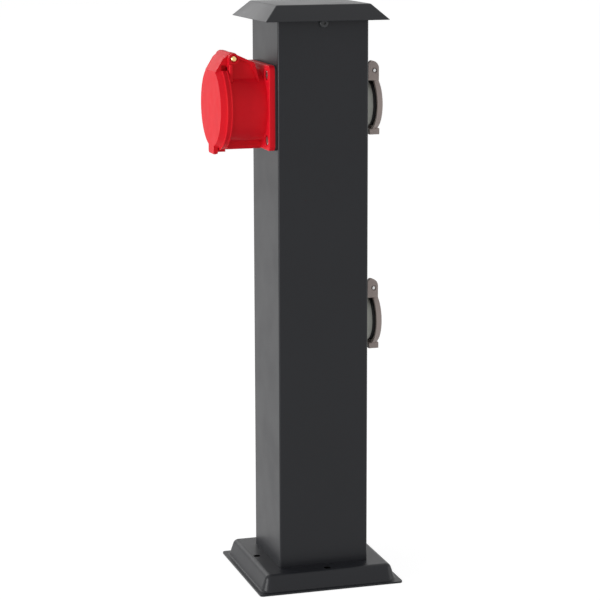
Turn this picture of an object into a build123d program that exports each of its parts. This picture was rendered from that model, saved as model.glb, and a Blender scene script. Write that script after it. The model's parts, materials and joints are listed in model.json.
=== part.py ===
from build123d import *
import math
import os

os.makedirs("parts", exist_ok=True)

# Garden socket post, in millimetres. The origin is the centre of the base's underside,
# +Z is up, +X points to the side with the two outlets and -Y is the post's front.

# Shared clearances
cut_overrun = 1
fit_gap = 0.2
face_gap = 0.3
running_gap = 0.05
thread_gap = 0.05

# Base tray, stamped from sheet
base_flange_width = 130
base_sheet = 1.5
base_height = 15.6
base_foot_width = 122.5
base_top_width = 113
base_corner_radius = 9
base_flange_corner_radius = 3
base_shoulder_radius = 5
base_foot_fillet_radius = 1.8
anchor_circle = 100
anchor_hole_diameter = 6

# Column, square tube
column_width = 80
column_sheet = 1.5
column_bend_radius = 1.8
column_bore = column_width - 2 * column_sheet
column_bore_radius = column_bend_radius - column_sheet
column_half = column_width / 2
bore_half = column_bore / 2

# Cap, flat-topped pyramid folded from sheet
cap_top = 504.3
cap_rise = 13.2
cap_eave_width = 108.4
cap_top_width = 82.7
cap_sheet = 1.5
cap_bracket_sheet = 2
cap_bracket_width = 30
cap_bracket_leg = 22
cap_screw_drop = 2.4
cap_eave_height = cap_top - cap_rise
column_top = cap_top - cap_sheet
column_length = column_top - base_height
cap_screw_height = cap_eave_height - cap_screw_drop

# Foot bracket welded into the column, with nuts for the screws from below
foot_bracket_sheet = 3
foot_bracket_height = 25
foot_opening = 44
foot_screw_spacing = 56
foot_screw_radius = 2.5
foot_head_radius = 4.7
foot_head_height = 2.8
foot_nut_across = 8
foot_nut_height = 4
foot_floor = base_height + foot_bracket_sheet

# Cable grommet in the tray
grommet_bore_radius = 8
grommet_neck_radius = 12
grommet_lip_radius = 14
grommet_lip = 3

# M4 machine screws and rivet nuts
m4_radius = 2
m4_head_radius = 3.8
m4_head_height = 2.4
m4_socket_across = 2.5
m4_socket_depth = 1.3
m4_head_round = 1.2
m4_nut_body_radius = 3
m4_nut_head_radius = 4
m4_nut_head = 0.8
m4_nut_length = 8
m4_nut_bulge_radius = 3.9
m4_nut_bulge = 2
m4_nut_grip = 0.1
red_screw_row_count = 2
cap_screw_row_count = 1

# Cross recess of the other screws, and the clamp screws on the contact sleeves
cross_slot_length = 3.4
cross_slot_width = 0.8
cross_slot_depth = 0.9
clamp_screw_radius = 1.4
clamp_screw_length = 5
red_screw_head_round = 1

# Red five-pole socket on the left face; w is measured outwards from the column's face
red_height = 417.8
red_gasket_sheet = 1.5
red_flange_width = 72
red_flange_thickness = 5
red_flange_corner_radius = 4.5
red_flange_edge_radius = 0.8
red_hole_inset = 8.5
red_recess_radius = 4.4
red_recess_depth = 2.6
red_barrel_margin = 5
red_barrel_wall = 3.25
red_barrel_reach = 37
red_rear_step = 2
red_rear_depth = 24
red_key_half_width = 9
red_key_bulge = 5.5
red_key_slot_width = 9
red_key_slot_depth = 5.35
red_key_setback = 0.5
red_key_corner_radius = 3
red_insert_ring = 6.25
red_insert_setback = 8
red_insert_floor = 4
red_insert_base = 16
red_insert_lip = 7
red_insert_edge_radius = 1
red_contact_inset = 7.5
red_contact_count = 5
red_earth_angle = -90
red_sleeve_radius = 4
red_contact_bore_radius = 2.5
red_sleeve_tail = 4
red_hole_spacing = red_flange_width - 2 * red_hole_inset
red_barrel_radius = red_flange_width / 2 - red_barrel_margin
red_bore_radius = red_barrel_radius - red_barrel_wall
red_rear_radius = red_barrel_radius - red_rear_step
red_key_drop = red_barrel_radius + red_key_bulge
red_key_slot_drop = red_bore_radius + red_key_slot_depth
red_insert_radius = red_bore_radius - red_insert_ring
red_contact_circle_radius = red_insert_radius - red_contact_inset
red_flange_front = red_gasket_sheet + red_flange_thickness
red_screw_seat = red_flange_front - red_recess_depth

# Red lid and its hinge; heights on the hinge are measured from its pin
red_pin_out = 33.1
red_pin_rise = 10.4
red_hinge_pin_radius = 2.3
red_pin_proud = 0.8
red_pin_end_chamfer = 0.5
red_pin_recess_radius = 3.3
red_pin_recess_depth = 1
red_ear_inner = 17.3
red_ear_outer = 22
red_ear_radius = 4.6
red_ear_rear = 15
red_ear_rear_foot = 10.5
red_ear_rear_drop = 3.7
red_ear_foot_drop = 20.9
red_ear_web = 19.2
red_ear_rib = 3.2
red_ear_rim = 1.6
red_ear_rear_rib = 1.2
red_lid_face = 48
red_lid_seam = 43
red_lid_back = 38
red_skirt_overhang = 6
red_skirt_edge_radius = 0.8
red_skirt_wall = 2.9
red_lid_seam_step = 0.9
red_lid_face_inset = 2.1
red_lid_wall = 3.6
red_lid_plate = 3
red_hood_half_width = 17
red_hood_radius = 4.9
red_hood_root_drop = 16.9
red_hood_face_drop = 11.1
red_hood_slope_out = 41.3
red_hood_slope_drop = 0.1
red_hood_shoulder_out = 37.2
red_hood_shoulder_rise = 3
red_hood_inner_out = 38.6
red_hood_inner_drop = 7.5
red_tab_half_width = 9
red_tab_overhang = 3
red_tab_depth = 3.6
red_tab_corner_radius = 2.5
red_nose_half_width = 7
red_nose_overhang = 1.3
red_nose_back = 37.4
red_seal_lap = 0.85
red_seal_overhang = 0.5
red_slot_half_width = 9.4
red_slot_radius = 4.25
red_slot_drop = 12
red_notch_inner = 14
red_notch_outer = 19.5
red_notch_drop = 10.4
red_notch_height = 4.8
red_pin_up = red_barrel_radius + red_pin_rise
red_ear_rear_up = red_pin_up - red_ear_rear_drop
red_ear_foot_up = red_pin_up - red_ear_foot_drop
red_skirt_radius = red_barrel_radius + red_skirt_overhang
red_skirt_bore_radius = red_skirt_radius - red_skirt_wall
red_lid_seam_radius = red_skirt_radius - red_lid_seam_step
red_lid_face_radius = red_lid_seam_radius - red_lid_face_inset
red_lid_bore_radius = red_lid_seam_radius - red_lid_wall
red_hood_root_up = red_pin_up - red_hood_root_drop
red_hood_face_up = red_pin_up - red_hood_face_drop
red_hood_slope_up = red_pin_up - red_hood_slope_drop
red_hood_shoulder_up = red_pin_up + red_hood_shoulder_rise
red_hood_inner_up = red_pin_up - red_hood_inner_drop
red_tab_drop = red_skirt_radius + red_tab_overhang
red_nose_drop = red_skirt_radius + red_nose_overhang
red_seal_inner_radius = red_bore_radius - red_seal_lap
red_seal_outer_radius = red_barrel_radius + red_seal_overhang
red_notch_low = red_pin_up - red_notch_drop
red_notch_high = red_notch_low + red_notch_height

# Outlets on the right face, a pair alike
outlet_heights = {"upper": 416.8, "lower": 227.2}
outlet_gasket_sheet = 1.5
outlet_flange_width = 48.5
outlet_flange_thickness = 3
outlet_flange_corner_radius = 4
outlet_hole_inset = 6
outlet_screw_radius = 1.5
outlet_screw_head_radius = 3
outlet_screw_head_angle = 90
outlet_screw_length = 12
outlet_nut_body_radius = 2.4
outlet_nut_head_radius = 3.4
outlet_nut_head = 0.8
outlet_nut_length = 9
outlet_collar_margin = 3.25
outlet_collar_wall = 2.25
outlet_collar_reach = 10.8
outlet_collar_edge_radius = 0.8
outlet_rear_step = 0.35
outlet_recess_depth = 17.5
outlet_insert_thickness = 13.3
outlet_insert_lip = 3
outlet_contact_spacing = 19
outlet_contact_bore_radius = 2.6
outlet_sleeve_radius = 3.6
outlet_sleeve_tail = 4
outlet_clip_width = 6
outlet_clip_sheet = 0.8
outlet_clip_foot_inset = 1.6
outlet_clip_nose_inset = 4.3
outlet_clip_nose_out = 2
outlet_clip_tip_out = 6
outlet_hole_spacing = outlet_flange_width - 2 * outlet_hole_inset
outlet_collar_radius = outlet_flange_width / 2 - outlet_collar_margin
outlet_bore_radius = outlet_collar_radius - outlet_collar_wall
outlet_rear_radius = outlet_collar_radius - outlet_rear_step
outlet_clip_foot_up = outlet_bore_radius - outlet_clip_foot_inset
outlet_clip_nose_up = outlet_bore_radius - outlet_clip_nose_inset
outlet_flange_front = outlet_gasket_sheet + outlet_flange_thickness
outlet_floor_out = outlet_collar_reach - outlet_recess_depth

# Outlet lid and its hinge; heights on the hinge are measured from its pin
outlet_pin_out = 11.4
outlet_pin_rise = 8.45
outlet_hinge_pin_radius = 1.5
outlet_pin_proud = 0.3
outlet_pin_end_chamfer = 0.3
outlet_pin_recess_radius = 2.4
outlet_pin_recess_depth = 0.8
outlet_block_half_width = 17.1
outlet_knuckle_radius = 3.7
outlet_tongue_rise = 3.8
outlet_spring_slot_half_width = 7.4
outlet_cheek_inner = 17.4
outlet_cheek_outer = 21.5
outlet_cheek_back = 6
outlet_cheek_front = 15.5
outlet_cheek_drop = 8.5
outlet_cheek_rise = 8.4
outlet_cheek_corner_radius = 6.8
outlet_cheek_chamfer = 2.4
outlet_bar_drop = 4.5
outlet_lid_back = 13.2
outlet_lid_front = 18.5
outlet_lid_overhang = 3.75
outlet_lid_front_inset = 1.2
outlet_lid_plate = 2.5
outlet_lid_wall = 2.5
outlet_lid_edge_radius = 0.8
outlet_tab_half_width = 10
outlet_tab_overhang = 2.4
outlet_tab_lap = 3
outlet_tab_back = 11.4
outlet_tab_front = 20
outlet_tab_edge_radius = 0.8
outlet_seal_lap = 1.3
outlet_seal_inset = 0.95
outlet_pin_up = outlet_collar_radius + outlet_pin_rise
outlet_tongue_up = outlet_pin_up + outlet_tongue_rise
outlet_cheek_low = outlet_pin_up - outlet_cheek_drop
outlet_cheek_top = outlet_pin_up + outlet_cheek_rise
outlet_bar_top = outlet_pin_up - outlet_bar_drop
outlet_lid_back_radius = outlet_collar_radius + outlet_lid_overhang
outlet_lid_front_radius = outlet_lid_back_radius - outlet_lid_front_inset
outlet_lid_bore_radius = outlet_lid_back_radius - outlet_lid_wall
outlet_tab_low = outlet_lid_back_radius + outlet_tab_overhang
outlet_tab_high = outlet_lid_back_radius - outlet_tab_lap
outlet_seal_inner_radius = outlet_bore_radius - outlet_seal_lap
outlet_seal_outer_radius = outlet_collar_radius - outlet_seal_inset

# Torsion springs on the hinge pins
red_spring_wire_radius = 0.45
red_spring_radius = 3.4
red_spring_turns = 7
red_spring_pitch = 1.9
red_spring_lid_leg = 6
outlet_spring_wire_radius = 0.3
outlet_spring_radius = 2.5
outlet_spring_turns = 7
outlet_spring_pitch = 1.5

# Terminal bracket, mounting rail and terminals
terminal_bracket_sheet = 2
terminal_bracket_foot = 13
terminal_bracket_half_foot = 20
terminal_bracket_half_width = 30
terminal_bracket_top = 100
bracket_screw_inset = 7
bracket_screw_half_spacing = 12
rail_sheet = 1
rail_height = 35
rail_channel = 27
rail_depth = 7.5
rail_length = 60
rail_centre_height = 78
rail_screw_half_spacing = 20
terminal_pitch = 7.5
terminal_width = 7.3
terminal_depth = 40
terminal_height = 44
terminal_edge_radius = 1
terminal_bar_width = 4
terminal_bar_height = 12
terminal_bar_rear_inset = 4
terminal_bar_front_inset = 4.4
terminal_hole_radius = 1.9
terminal_supply_hole_radius = 2.5
terminal_screw_radius = 1.9
terminal_screw_spacing = 6.4
terminal_screw_recess = 1
terminal_entry_back = 8
terminal_entry_pitch = 12
end_stop_width = 8
end_stop_depth = 24

# Wires
wire_radius = 1.6
wire_red_lane = -4
wire_drift_top = 350
wire_drift_bottom = 262
wire_drift_lower_top = 190
wire_drift_lower_bottom = 130
wire_grip = 4
wire_corner_share = 0.45
earth_lug_x = 28
earth_screw_y = 5
earth_barrel_y = -3
earth_lug_sheet = 1
earth_lug_radius = 5
earth_barrel_radius = 2.6
earth_barrel_height = 8
earth_wire_bend_high = 47
earth_wire_bend_low = 36


def keep(piece, name):
    """Label a finished piece and write it as its own STEP file."""
    piece.part.label = name
    export_step(piece.part, f"parts/{name}.step")


def left_face(height):
    """Plane on the column's left face, x along -Y, y up and z outwards."""
    return Plane(origin=(-column_half, 0, height), x_dir=(0, -1, 0), z_dir=(-1, 0, 0))


def right_face(height):
    """Plane on the column's right face, x along +Y, y up and z outwards."""
    return Plane(origin=(column_half, 0, height), x_dir=(0, 1, 0), z_dir=(1, 0, 0))


def side_plane(face, across):
    """Plane square to a face, x outwards and y up, at a place across the face.

    It faces back towards the face's own -x, so a positive extrusion goes that way.
    """
    return Plane(origin=face.origin + face.x_dir * across, x_dir=face.z_dir, z_dir=-face.x_dir)


def contact_angle(number):
    """Angle of a red contact on its circle, in radians, the earth contact first."""
    return math.radians(red_earth_angle + 360 * number / red_contact_count)


front_face = Plane(origin=(0, -column_half, cap_screw_height), x_dir=(1, 0, 0), z_dir=(0, -1, 0))
back_face = Plane(origin=(0, column_half, cap_screw_height), x_dir=(-1, 0, 0), z_dir=(0, 1, 0))
red_face = left_face(red_height)
outlet_faces = {side: right_face(height) for side, height in outlet_heights.items()}


# Base tray: flat flange, sides that lean in, a rounded shoulder and a plateau
tray_rise = base_height - base_sheet
tray_lean = math.degrees(math.atan2((base_foot_width - base_top_width) / 2, tray_rise))

with BuildPart() as tray_hollow:
    with BuildSketch():
        RectangleRounded(
            base_foot_width - 2 * base_sheet, base_foot_width - 2 * base_sheet, base_corner_radius - base_sheet
        )
    extrude(amount=tray_rise, taper=tray_lean)
    fillet(tray_hollow.faces().sort_by(Axis.Z)[-1].edges(), base_shoulder_radius - base_sheet)

with BuildPart() as base_tray:
    with BuildSketch(Plane.XY.offset(base_sheet)):
        RectangleRounded(base_foot_width, base_foot_width, base_corner_radius)
    extrude(amount=tray_rise, taper=tray_lean)
    fillet(base_tray.faces().sort_by(Axis.Z)[-1].edges(), base_shoulder_radius)
    with BuildSketch():
        RectangleRounded(base_flange_width, base_flange_width, base_flange_corner_radius)
    extrude(amount=base_sheet)
    flange_top = base_tray.faces().filter_by(Plane.XY).filter_by_position(Axis.Z, base_sheet, base_sheet)
    fillet(flange_top.sort_by(SortBy.AREA)[-1].inner_wires().edges(), base_foot_fillet_radius)
    add(tray_hollow.part, mode=Mode.SUBTRACT)
    with BuildSketch(Plane.XY.offset(base_height)):
        with PolarLocations(anchor_circle / 2, 4):
            Circle(anchor_hole_diameter / 2)
        with GridLocations(foot_screw_spacing, foot_screw_spacing, 2, 2):
            Circle(foot_screw_radius + fit_gap)
        Circle(grommet_neck_radius)
    extrude(amount=-base_height, mode=Mode.SUBTRACT)
keep(base_tray, "base_tray")

# Column: square tube with cut-outs for the sockets, their rivet nuts and the cap screws
with BuildPart() as column_tube:
    with BuildSketch(Plane.XY.offset(base_height)):
        RectangleRounded(column_width, column_width, column_bend_radius)
        RectangleRounded(column_bore, column_bore, column_bore_radius, mode=Mode.SUBTRACT)
    extrude(amount=column_length)
    with BuildSketch(red_face):
        Circle(red_rear_radius + face_gap)
        with GridLocations(red_hole_spacing, red_hole_spacing, 2, 2):
            Circle(m4_nut_body_radius + thread_gap)
    extrude(amount=-(column_sheet + cut_overrun), mode=Mode.SUBTRACT)
    for outlet_face in outlet_faces.values():
        with BuildSketch(outlet_face):
            Circle(outlet_rear_radius + face_gap)
            with GridLocations(outlet_hole_spacing, outlet_hole_spacing, 2, 2):
                Circle(outlet_nut_body_radius + thread_gap)
        extrude(amount=-(column_sheet + cut_overrun), mode=Mode.SUBTRACT)
    for cap_face in (front_face, back_face):
        with BuildSketch(cap_face):
            Circle(m4_radius + fit_gap)
        extrude(amount=-(column_sheet + cut_overrun), mode=Mode.SUBTRACT)
keep(column_tube, "column_tube")

# Foot bracket: a square frame inside the column's foot, with an opening for the cable
bracket_screw_x = -bore_half + foot_bracket_sheet + fit_gap + bracket_screw_inset
with BuildPart() as foot_bracket:
    with BuildSketch(Plane.XY.offset(base_height)):
        RectangleRounded(column_bore, column_bore, column_bore_radius)
        Rectangle(foot_opening, foot_opening, mode=Mode.SUBTRACT)
    extrude(amount=foot_bracket_sheet)
    with BuildSketch(Plane.XY.offset(base_height)):
        RectangleRounded(column_bore, column_bore, column_bore_radius)
        Rectangle(
            column_bore - 2 * foot_bracket_sheet, column_bore - 2 * foot_bracket_sheet, mode=Mode.SUBTRACT
        )
    extrude(amount=foot_bracket_height)
    with BuildSketch(Plane.XY.offset(foot_floor)):
        with GridLocations(foot_screw_spacing, foot_screw_spacing, 2, 2):
            Circle(foot_screw_radius + fit_gap)
        with Locations((bracket_screw_x, 0)):
            with GridLocations(0, 2 * bracket_screw_half_spacing, 1, 2):
                Circle(m4_radius + thread_gap)
        with Locations((earth_lug_x, earth_screw_y)):
            Circle(m4_radius + thread_gap)
    extrude(amount=-foot_bracket_sheet, mode=Mode.SUBTRACT)
keep(foot_bracket, "foot_bracket")

# Foot screws, up through the tray and the foot bracket into weld nuts
foot_screw_length = base_sheet + foot_bracket_sheet + foot_nut_height
with BuildPart() as foot_screws:
    with BuildSketch(Plane.XY.offset(tray_rise - foot_head_height)):
        with GridLocations(foot_screw_spacing, foot_screw_spacing, 2, 2):
            Circle(foot_head_radius)
    extrude(amount=foot_head_height)
    with BuildSketch(Plane.XY.offset(tray_rise)):
        with GridLocations(foot_screw_spacing, foot_screw_spacing, 2, 2):
            Circle(foot_screw_radius)
    extrude(amount=foot_screw_length)
    with BuildSketch(Plane.XY.offset(tray_rise - foot_head_height)):
        with GridLocations(foot_screw_spacing, foot_screw_spacing, 2, 2):
            RegularPolygon(foot_screw_radius, 6)
    extrude(amount=m4_socket_depth, mode=Mode.SUBTRACT)
keep(foot_screws, "foot_screws")

with BuildPart() as foot_weld_nuts:
    with BuildSketch(Plane.XY.offset(foot_floor)):
        with GridLocations(foot_screw_spacing, foot_screw_spacing, 2, 2):
            RegularPolygon(foot_nut_across / 2, 6, major_radius=False)
            Circle(foot_screw_radius + thread_gap, mode=Mode.SUBTRACT)
    extrude(amount=foot_nut_height)
keep(foot_weld_nuts, "foot_weld_nuts")

# Cable grommet, gripping the tray's sheet
with BuildPart() as cable_grommet:
    with BuildSketch(Plane.XY.offset(tray_rise - grommet_lip)):
        Circle(grommet_lip_radius)
    extrude(amount=grommet_lip)
    with BuildSketch(Plane.XY.offset(tray_rise)):
        Circle(grommet_neck_radius)
    extrude(amount=base_sheet)
    with BuildSketch(Plane.XY.offset(base_height)):
        Circle(grommet_lip_radius)
    extrude(amount=grommet_lip)
    with BuildSketch(Plane.XY.offset(tray_rise - grommet_lip)):
        Circle(grommet_bore_radius)
    extrude(amount=base_sheet + 2 * grommet_lip, mode=Mode.SUBTRACT)
keep(cable_grommet, "cable_grommet")

# Cap: sloping sides down to the eave and a flat top; its sides lean by cap_run over cap_rise
cap_run = (cap_eave_width - cap_top_width) / 2
cap_lean = math.degrees(math.atan2(cap_run, cap_rise))
cap_side_inset = cap_sheet / math.cos(math.radians(cap_lean))
with BuildPart() as cap_cover:
    with BuildSketch(Plane.XY.offset(cap_eave_height)):
        Rectangle(cap_eave_width, cap_eave_width)
    extrude(amount=cap_rise, taper=cap_lean)
    with BuildSketch(Plane.XY.offset(cap_eave_height)):
        Rectangle(cap_eave_width - 2 * cap_side_inset, cap_eave_width - 2 * cap_side_inset)
    extrude(amount=cap_rise - cap_sheet, taper=cap_lean, mode=Mode.SUBTRACT)
keep(cap_cover, "cap_cover")

# Cap bracket: a strip under the roof with two legs down inside the column
cap_bracket_half = bore_half - fit_gap
with BuildPart() as cap_bracket:
    with BuildSketch(Plane.YZ.offset(-cap_bracket_width / 2)):
        with BuildLine():
            Polyline(
                (-cap_bracket_half, column_top - cap_bracket_leg),
                (-cap_bracket_half, column_top),
                (cap_bracket_half, column_top),
                (cap_bracket_half, column_top - cap_bracket_leg),
                (cap_bracket_half - cap_bracket_sheet, column_top - cap_bracket_leg),
                (cap_bracket_half - cap_bracket_sheet, column_top - cap_bracket_sheet),
                (-cap_bracket_half + cap_bracket_sheet, column_top - cap_bracket_sheet),
                (-cap_bracket_half + cap_bracket_sheet, column_top - cap_bracket_leg),
                close=True,
            )
        make_face()
    extrude(amount=cap_bracket_width)
    for cap_face in (front_face, back_face):
        with BuildSketch(cap_face):
            Circle(m4_nut_body_radius + thread_gap)
        extrude(amount=-(column_sheet + cap_bracket_sheet + cut_overrun), mode=Mode.SUBTRACT)
keep(cap_bracket, "cap_bracket")

# M4 rivet nuts: four in the column wall for the red socket, two in the cap bracket's legs
nut_seats = [(red_face, red_hole_spacing, red_screw_row_count, 0, column_sheet)]
for cap_face in (front_face, back_face):
    nut_seats.append((cap_face, 0, cap_screw_row_count, -(column_sheet + fit_gap), cap_bracket_sheet))
with BuildPart() as m4_rivet_nuts:
    for face, spacing, rows, seat, grip in nut_seats:
        head = m4_nut_head if rows > cap_screw_row_count else 0
        bulge_top = seat - grip - m4_nut_grip
        with BuildSketch(face.offset(seat)):
            with GridLocations(spacing, spacing, rows, rows):
                Circle(m4_nut_body_radius)
        extrude(amount=-m4_nut_length)
        if head:
            with BuildSketch(face.offset(seat)):
                with GridLocations(spacing, spacing, rows, rows):
                    Circle(m4_nut_head_radius)
            extrude(amount=head)
        with BuildSketch(face.offset(bulge_top)):
            with GridLocations(spacing, spacing, rows, rows):
                Circle(m4_nut_bulge_radius)
        extrude(amount=-m4_nut_bulge)
        with BuildSketch(face.offset(seat + head)):
            with GridLocations(spacing, spacing, rows, rows):
                Circle(m4_radius + thread_gap)
        extrude(amount=-(m4_nut_length + head), mode=Mode.SUBTRACT)
keep(m4_rivet_nuts, "m4_rivet_nuts")

# Cap screws: button heads with a hex socket
cap_screw_length = column_sheet + fit_gap + m4_nut_length
with BuildPart() as cap_screws:
    for cap_face in (front_face, back_face):
        with BuildSketch(cap_face):
            Circle(m4_head_radius)
        extrude(amount=m4_head_height)
        fillet(cap_screws.faces().sort_by(Axis(cap_face.origin, cap_face.z_dir))[-1].edges(), m4_head_round)
        with BuildSketch(cap_face):
            Circle(m4_radius)
        extrude(amount=-cap_screw_length)
        with BuildSketch(cap_face.offset(m4_head_height)):
            RegularPolygon(m4_socket_across / 2, 6, major_radius=False)
        extrude(amount=-m4_socket_depth, mode=Mode.SUBTRACT)
keep(cap_screws, "cap_screws")

# Red socket housing: flange, barrel with a keyway bulge, two hinge ears and a rear sleeve
red_out = Axis(red_face.origin, red_face.z_dir)
red_ear_thickness = red_ear_outer - red_ear_inner
red_ear_front = red_pin_out + red_ear_radius
with BuildPart() as red_housing:
    with BuildSketch(red_face.offset(red_gasket_sheet)):
        RectangleRounded(red_flange_width, red_flange_width, red_flange_corner_radius)
    extrude(amount=red_flange_thickness)
    fillet(red_housing.faces().sort_by(red_out)[-1].edges(), red_flange_edge_radius)
    for ear_side in (red_ear_outer, -red_ear_inner):
        with BuildSketch(side_plane(red_face, ear_side)):
            with BuildLine():
                Polyline(
                    (red_pin_out, red_pin_up + red_ear_radius),
                    (red_ear_rear, red_ear_rear_up),
                    (red_ear_rear_foot, red_ear_foot_up),
                    (red_ear_front, red_ear_foot_up),
                    (red_ear_front, red_pin_up),
                )
                RadiusArc(
                    (red_ear_front, red_pin_up), (red_pin_out, red_pin_up + red_ear_radius), -red_ear_radius
                )
            make_face()
        extrude(amount=red_ear_thickness)
    for pocket_side in (red_ear_outer, -red_ear_web):
        with BuildSketch(side_plane(red_face, pocket_side)):
            with BuildLine():
                Polyline(
                    (red_ear_front - red_ear_rib, red_ear_foot_up),
                    (red_ear_front - red_ear_rib, red_pin_up),
                    (red_pin_out - red_ear_radius, red_pin_up),
                    (red_ear_rear + red_ear_rib, red_ear_rear_up - red_ear_rim / 2),
                    (red_ear_rear_foot + red_ear_rear_rib, red_ear_foot_up),
                    close=True,
                )
            make_face()
            with Locations((red_pin_out, red_pin_up)):
                Circle(red_ear_radius, mode=Mode.SUBTRACT)
        extrude(amount=red_ear_outer - red_ear_web, mode=Mode.SUBTRACT)
    for recess_side in (red_ear_outer, red_pin_recess_depth - red_ear_outer):
        with BuildSketch(side_plane(red_face, recess_side)):
            with Locations((red_pin_out, red_pin_up)):
                Circle(red_pin_recess_radius)
        extrude(amount=red_pin_recess_depth, mode=Mode.SUBTRACT)
    with BuildSketch(red_face.offset(red_flange_front)):
        Circle(red_barrel_radius)
    extrude(amount=red_barrel_reach - red_flange_front)
    with BuildSketch(red_face.offset(red_flange_front)) as red_key_profile:
        with Locations((0, -red_key_drop / 2)):
            Rectangle(2 * red_key_half_width, red_key_drop)
        fillet(red_key_profile.vertices().group_by(Axis.Y)[0], red_key_corner_radius)
    extrude(amount=red_barrel_reach - red_flange_front - red_key_setback)
    with BuildSketch(red_face.offset(red_gasket_sheet)):
        Circle(red_rear_radius)
    extrude(amount=-(red_gasket_sheet + red_rear_depth))
    with BuildSketch(red_face.offset(red_ear_front)):
        Circle(red_bore_radius)
    extrude(amount=-(red_ear_front + red_rear_depth), mode=Mode.SUBTRACT)
    with BuildSketch(red_face.offset(red_ear_front)):
        with Locations((0, -red_key_slot_drop / 2)):
            Rectangle(red_key_slot_width, red_key_slot_drop)
    extrude(amount=-(red_ear_front - red_flange_front), mode=Mode.SUBTRACT)
    with BuildSketch(red_face.offset(red_barrel_reach)):
        Circle(red_seal_outer_radius + face_gap)
    extrude(amount=red_ear_front - red_barrel_reach, mode=Mode.SUBTRACT)
    with BuildSketch(side_plane(red_face, red_ear_outer)):
        with Locations((red_pin_out, red_pin_up)):
            Circle(red_hinge_pin_radius + running_gap)
    extrude(amount=2 * red_ear_outer, mode=Mode.SUBTRACT)
    with Locations(red_face.offset(red_flange_front)):
        with GridLocations(red_hole_spacing, red_hole_spacing, 2, 2):
            CounterBoreHole(
                m4_radius + fit_gap, red_recess_radius, red_recess_depth, red_flange_thickness + cut_overrun
            )
keep(red_housing, "red_housing")

with BuildPart() as red_gasket:
    with BuildSketch(red_face):
        RectangleRounded(red_flange_width, red_flange_width, red_flange_corner_radius)
        Circle(red_rear_radius + face_gap, mode=Mode.SUBTRACT)
        with GridLocations(red_hole_spacing, red_hole_spacing, 2, 2):
            Circle(m4_nut_head_radius + face_gap, mode=Mode.SUBTRACT)
    extrude(amount=red_gasket_sheet)
keep(red_gasket, "red_gasket")

# Contact insert: a round boss, with a ring left free round it for the plug's shroud
red_insert_front = red_barrel_reach - red_insert_setback
red_insert_back = -(red_insert_floor + red_insert_base)
red_pocket_front = red_insert_front - red_insert_lip
with BuildPart() as red_insert:
    with BuildSketch(red_face.offset(-red_insert_floor)):
        Circle(red_insert_radius)
    extrude(amount=red_insert_floor + red_insert_front)
    fillet(red_insert.faces().sort_by(red_out)[-1].edges(), red_insert_edge_radius)
    with BuildSketch(red_face.offset(red_insert_front)):
        with PolarLocations(red_contact_circle_radius, red_contact_count, start_angle=red_earth_angle):
            Circle(red_contact_bore_radius + fit_gap)
    extrude(amount=-red_insert_lip, mode=Mode.SUBTRACT)
    with BuildSketch(red_face.offset(red_pocket_front)):
        with PolarLocations(red_contact_circle_radius, red_contact_count, start_angle=red_earth_angle):
            Circle(red_sleeve_radius + thread_gap)
    extrude(amount=-(red_pocket_front + red_insert_floor), mode=Mode.SUBTRACT)
keep(red_insert, "red_insert")

# Terminal base behind the insert, which closes the barrel's rear
with BuildPart() as red_terminal_base:
    with BuildSketch(red_face.offset(-red_insert_floor)):
        Circle(red_bore_radius - fit_gap)
        with PolarLocations(red_contact_circle_radius, red_contact_count, start_angle=red_earth_angle):
            Circle(red_sleeve_radius + thread_gap, mode=Mode.SUBTRACT)
    extrude(amount=-red_insert_base)
keep(red_terminal_base, "red_terminal_base")

# Contact sleeves: bored for the plug's pins in front and for the wire behind
red_sleeve_back = red_insert_back - red_sleeve_tail
with BuildPart() as red_contact_sleeves:
    with BuildSketch(red_face.offset(red_pocket_front - fit_gap)):
        with PolarLocations(red_contact_circle_radius, red_contact_count, start_angle=red_earth_angle):
            Circle(red_sleeve_radius)
    extrude(amount=-(red_pocket_front - fit_gap - red_sleeve_back))
    with BuildSketch(red_face.offset(red_pocket_front)):
        with PolarLocations(red_contact_circle_radius, red_contact_count, start_angle=red_earth_angle):
            Circle(red_contact_bore_radius)
    extrude(amount=-(red_pocket_front + red_insert_floor), mode=Mode.SUBTRACT)
    with BuildSketch(red_face.offset(red_sleeve_back)):
        with PolarLocations(red_contact_circle_radius, red_contact_count, start_angle=red_earth_angle):
            Circle(wire_radius + face_gap)
    extrude(amount=wire_grip + cut_overrun, mode=Mode.SUBTRACT)
    for number in range(red_contact_count):
        turn = contact_angle(number)
        spoke = red_face.x_dir * math.cos(turn) + red_face.y_dir * math.sin(turn)
        contact_centre = red_face.offset(red_sleeve_back + red_sleeve_tail / 2).origin
        contact_centre = contact_centre + spoke * red_contact_circle_radius
        with BuildSketch(Plane(origin=contact_centre, z_dir=spoke)):
            Circle(clamp_screw_radius + thread_gap)
        extrude(amount=red_sleeve_radius + cut_overrun, mode=Mode.SUBTRACT)
keep(red_contact_sleeves, "red_contact_sleeves")

with BuildPart() as red_terminal_screws:
    for number in range(red_contact_count):
        turn = contact_angle(number)
        spoke = red_face.x_dir * math.cos(turn) + red_face.y_dir * math.sin(turn)
        contact_centre = red_face.offset(red_sleeve_back + red_sleeve_tail / 2).origin
        contact_centre = contact_centre + spoke * (red_contact_circle_radius + wire_radius + fit_gap)
        with BuildSketch(Plane(origin=contact_centre, z_dir=spoke)):
            Circle(clamp_screw_radius)
        extrude(amount=clamp_screw_length)
keep(red_terminal_screws, "red_terminal_screws")

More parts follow.
